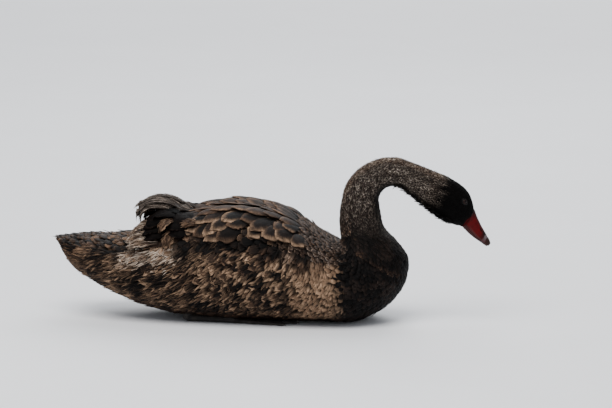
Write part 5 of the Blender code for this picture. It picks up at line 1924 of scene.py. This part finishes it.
@dataclass
class Studio:
    """Floor, lights and camera."""

    azimuth: float = math.radians(8)
    elevation: float = math.radians(9.5)
    distance: float = 8.0
    frame_width: float = 1.163
    aim: Pair = (0.0673, 0.2133)
    sensor: float = 36.0
    view_depth: float = 100.0
    floor_size: float = 40.0
    floor_dull: tuple = (0.755, 0.765, 0.79, 1)
    floor_pale: tuple = (0.805, 0.815, 0.84, 1)
    sky: tuple = (0.8, 0.83, 0.88, 1)
    sky_strength: float = 0.62
    lamps: tuple[Lamp, ...] = (
        Lamp("key", (-0.6, -1.5, 3.6), 3.0, 190.0, (1.0, 0.98, 0.95)),
        Lamp("fill", (2.6, -3.0, 1.2), 2.5, 16.0),
        Lamp("back", (0.2, 2.6, 3.0), 2.6, 80.0, (0.96, 0.98, 1.0)),
        Lamp("far", (0, 10.0, 5.0), 8.0, 920.0, towards=(0, 10.0, 0)),
    )

    def floor(self) -> None:
        """A plain pale floor."""
        deselect()
        bpy.ops.mesh.primitive_plane_add(size=self.floor_size, location=(0, 0, 0))
        plane = bpy.context.object
        plane.name = "floor"
        g = Graph("floor_pale")
        plane.data.materials.append(g.dress(g.mix(g.noise(g.place(), 3.0, 2.0), self.floor_dull,
                                                  self.floor_pale), 0.7))

    def lights(self) -> None:
        """Soft daylight from above, with a little more from the left."""
        for lamp in self.lamps:
            lamp.build()
        world = bpy.data.worlds.new("daylight")
        world.use_nodes = True
        world.node_tree.nodes["Background"].inputs[0].default_value = self.sky
        world.node_tree.nodes["Background"].inputs[1].default_value = self.sky_strength
        bpy.context.scene.world = world

    def camera(self) -> None:
        """The camera, a long lens low on the bird's right."""
        c, s = math.cos(self.azimuth), math.sin(self.azimuth)
        ce, se = math.cos(self.elevation), math.sin(self.elevation)
        right, up, back = Vector((c, s, 0)), Vector((-s * se, c * se, ce)), Vector((s * ce, -c * ce, se))
        data = bpy.data.cameras.new("camera")
        data.sensor_width = self.sensor
        data.lens = self.sensor * self.distance / self.frame_width
        data.clip_end = self.view_depth
        obj = bpy.data.objects.new("camera", data)
        place = right * self.aim[0] + up * self.aim[1] + back * self.distance
        obj.matrix_world = Matrix.Translation(place) @ Matrix((right, up, back)).transposed().to_4x4()
        bpy.context.scene.collection.objects.link(obj)
        bpy.context.scene.camera = obj

    def build(self) -> None:
        """The whole studio."""
        self.floor()
        self.lights()
        self.camera()


def main() -> None:
    """Builds the bird's pieces in order."""
    logging.basicConfig(level=logging.INFO, format="%(name)s %(message)s")
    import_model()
    form = SwanForm()
    plan = CoatPlan()
    lattice = Lattice(form, plan)
    markings = Markings(form, plan)
    # Every vane finish paints shade over the feather roots; broad and raised ones also paint a shadow along the
    # very edge
    contour = VaneFinish("contour_vane").make()
    face = VaneFinish("face_vane", gloss=0.03).make()
    broad = VaneFinish("broad_vane", edge=(0.36, 0.98), edge_strength=0.74, band=0.0, dusk=0.0, barbs=110.0,
                       barb_contrast=0.48, barb_height=0.0004, cloud=0.45, edge_painted_shadow=0.6).make()
    raised = VaneFinish("raised_vane", edge=(0.72, 0.98), band=0.15, dusk=0.3, barbs=110.0, barb_contrast=0.4,
                        barb_height=0.0003, cloud=0.45, root_painted_shade=0.45, root_end=0.35, edge_painted_shadow=0.3).make()
    # Finish of the near-black feathers that are painted shadow under the crest
    hollow = VaneFinish("hollow_vane", gloss=0.03, root_painted_shade=0.45, root_end=0.35, barb_contrast=0.5).make()
    tips = VaneFinish("primary_vane", edge=(0.95, 1.1), barbs=110.0, white_tip=True).make()
    Skin(lattice, markings).build()
    Coat(lattice, markings, contour, face).build()
    Wings(lattice, broad, raised, hollow, tips).build()
    Tail(lattice, broad).build()
    Wisps(lattice, markings, contour, face).build()
    Bill(form).build(BillFinish().make())
    wet, rim, scales = EyeFinish().make(), LidFinish().make(), FootFinish().make()
    for side, name in SIDES:
        eye = Eye(EyeSocket(lattice, side))
        eye.ball(f"ball_eye_{name}", wet)
        eye.lids(f"lids_{name}", rim)
        Foot(side).build(f"foot_{name}", scales)
    Studio().build()


if __name__ == "__main__":
    main()
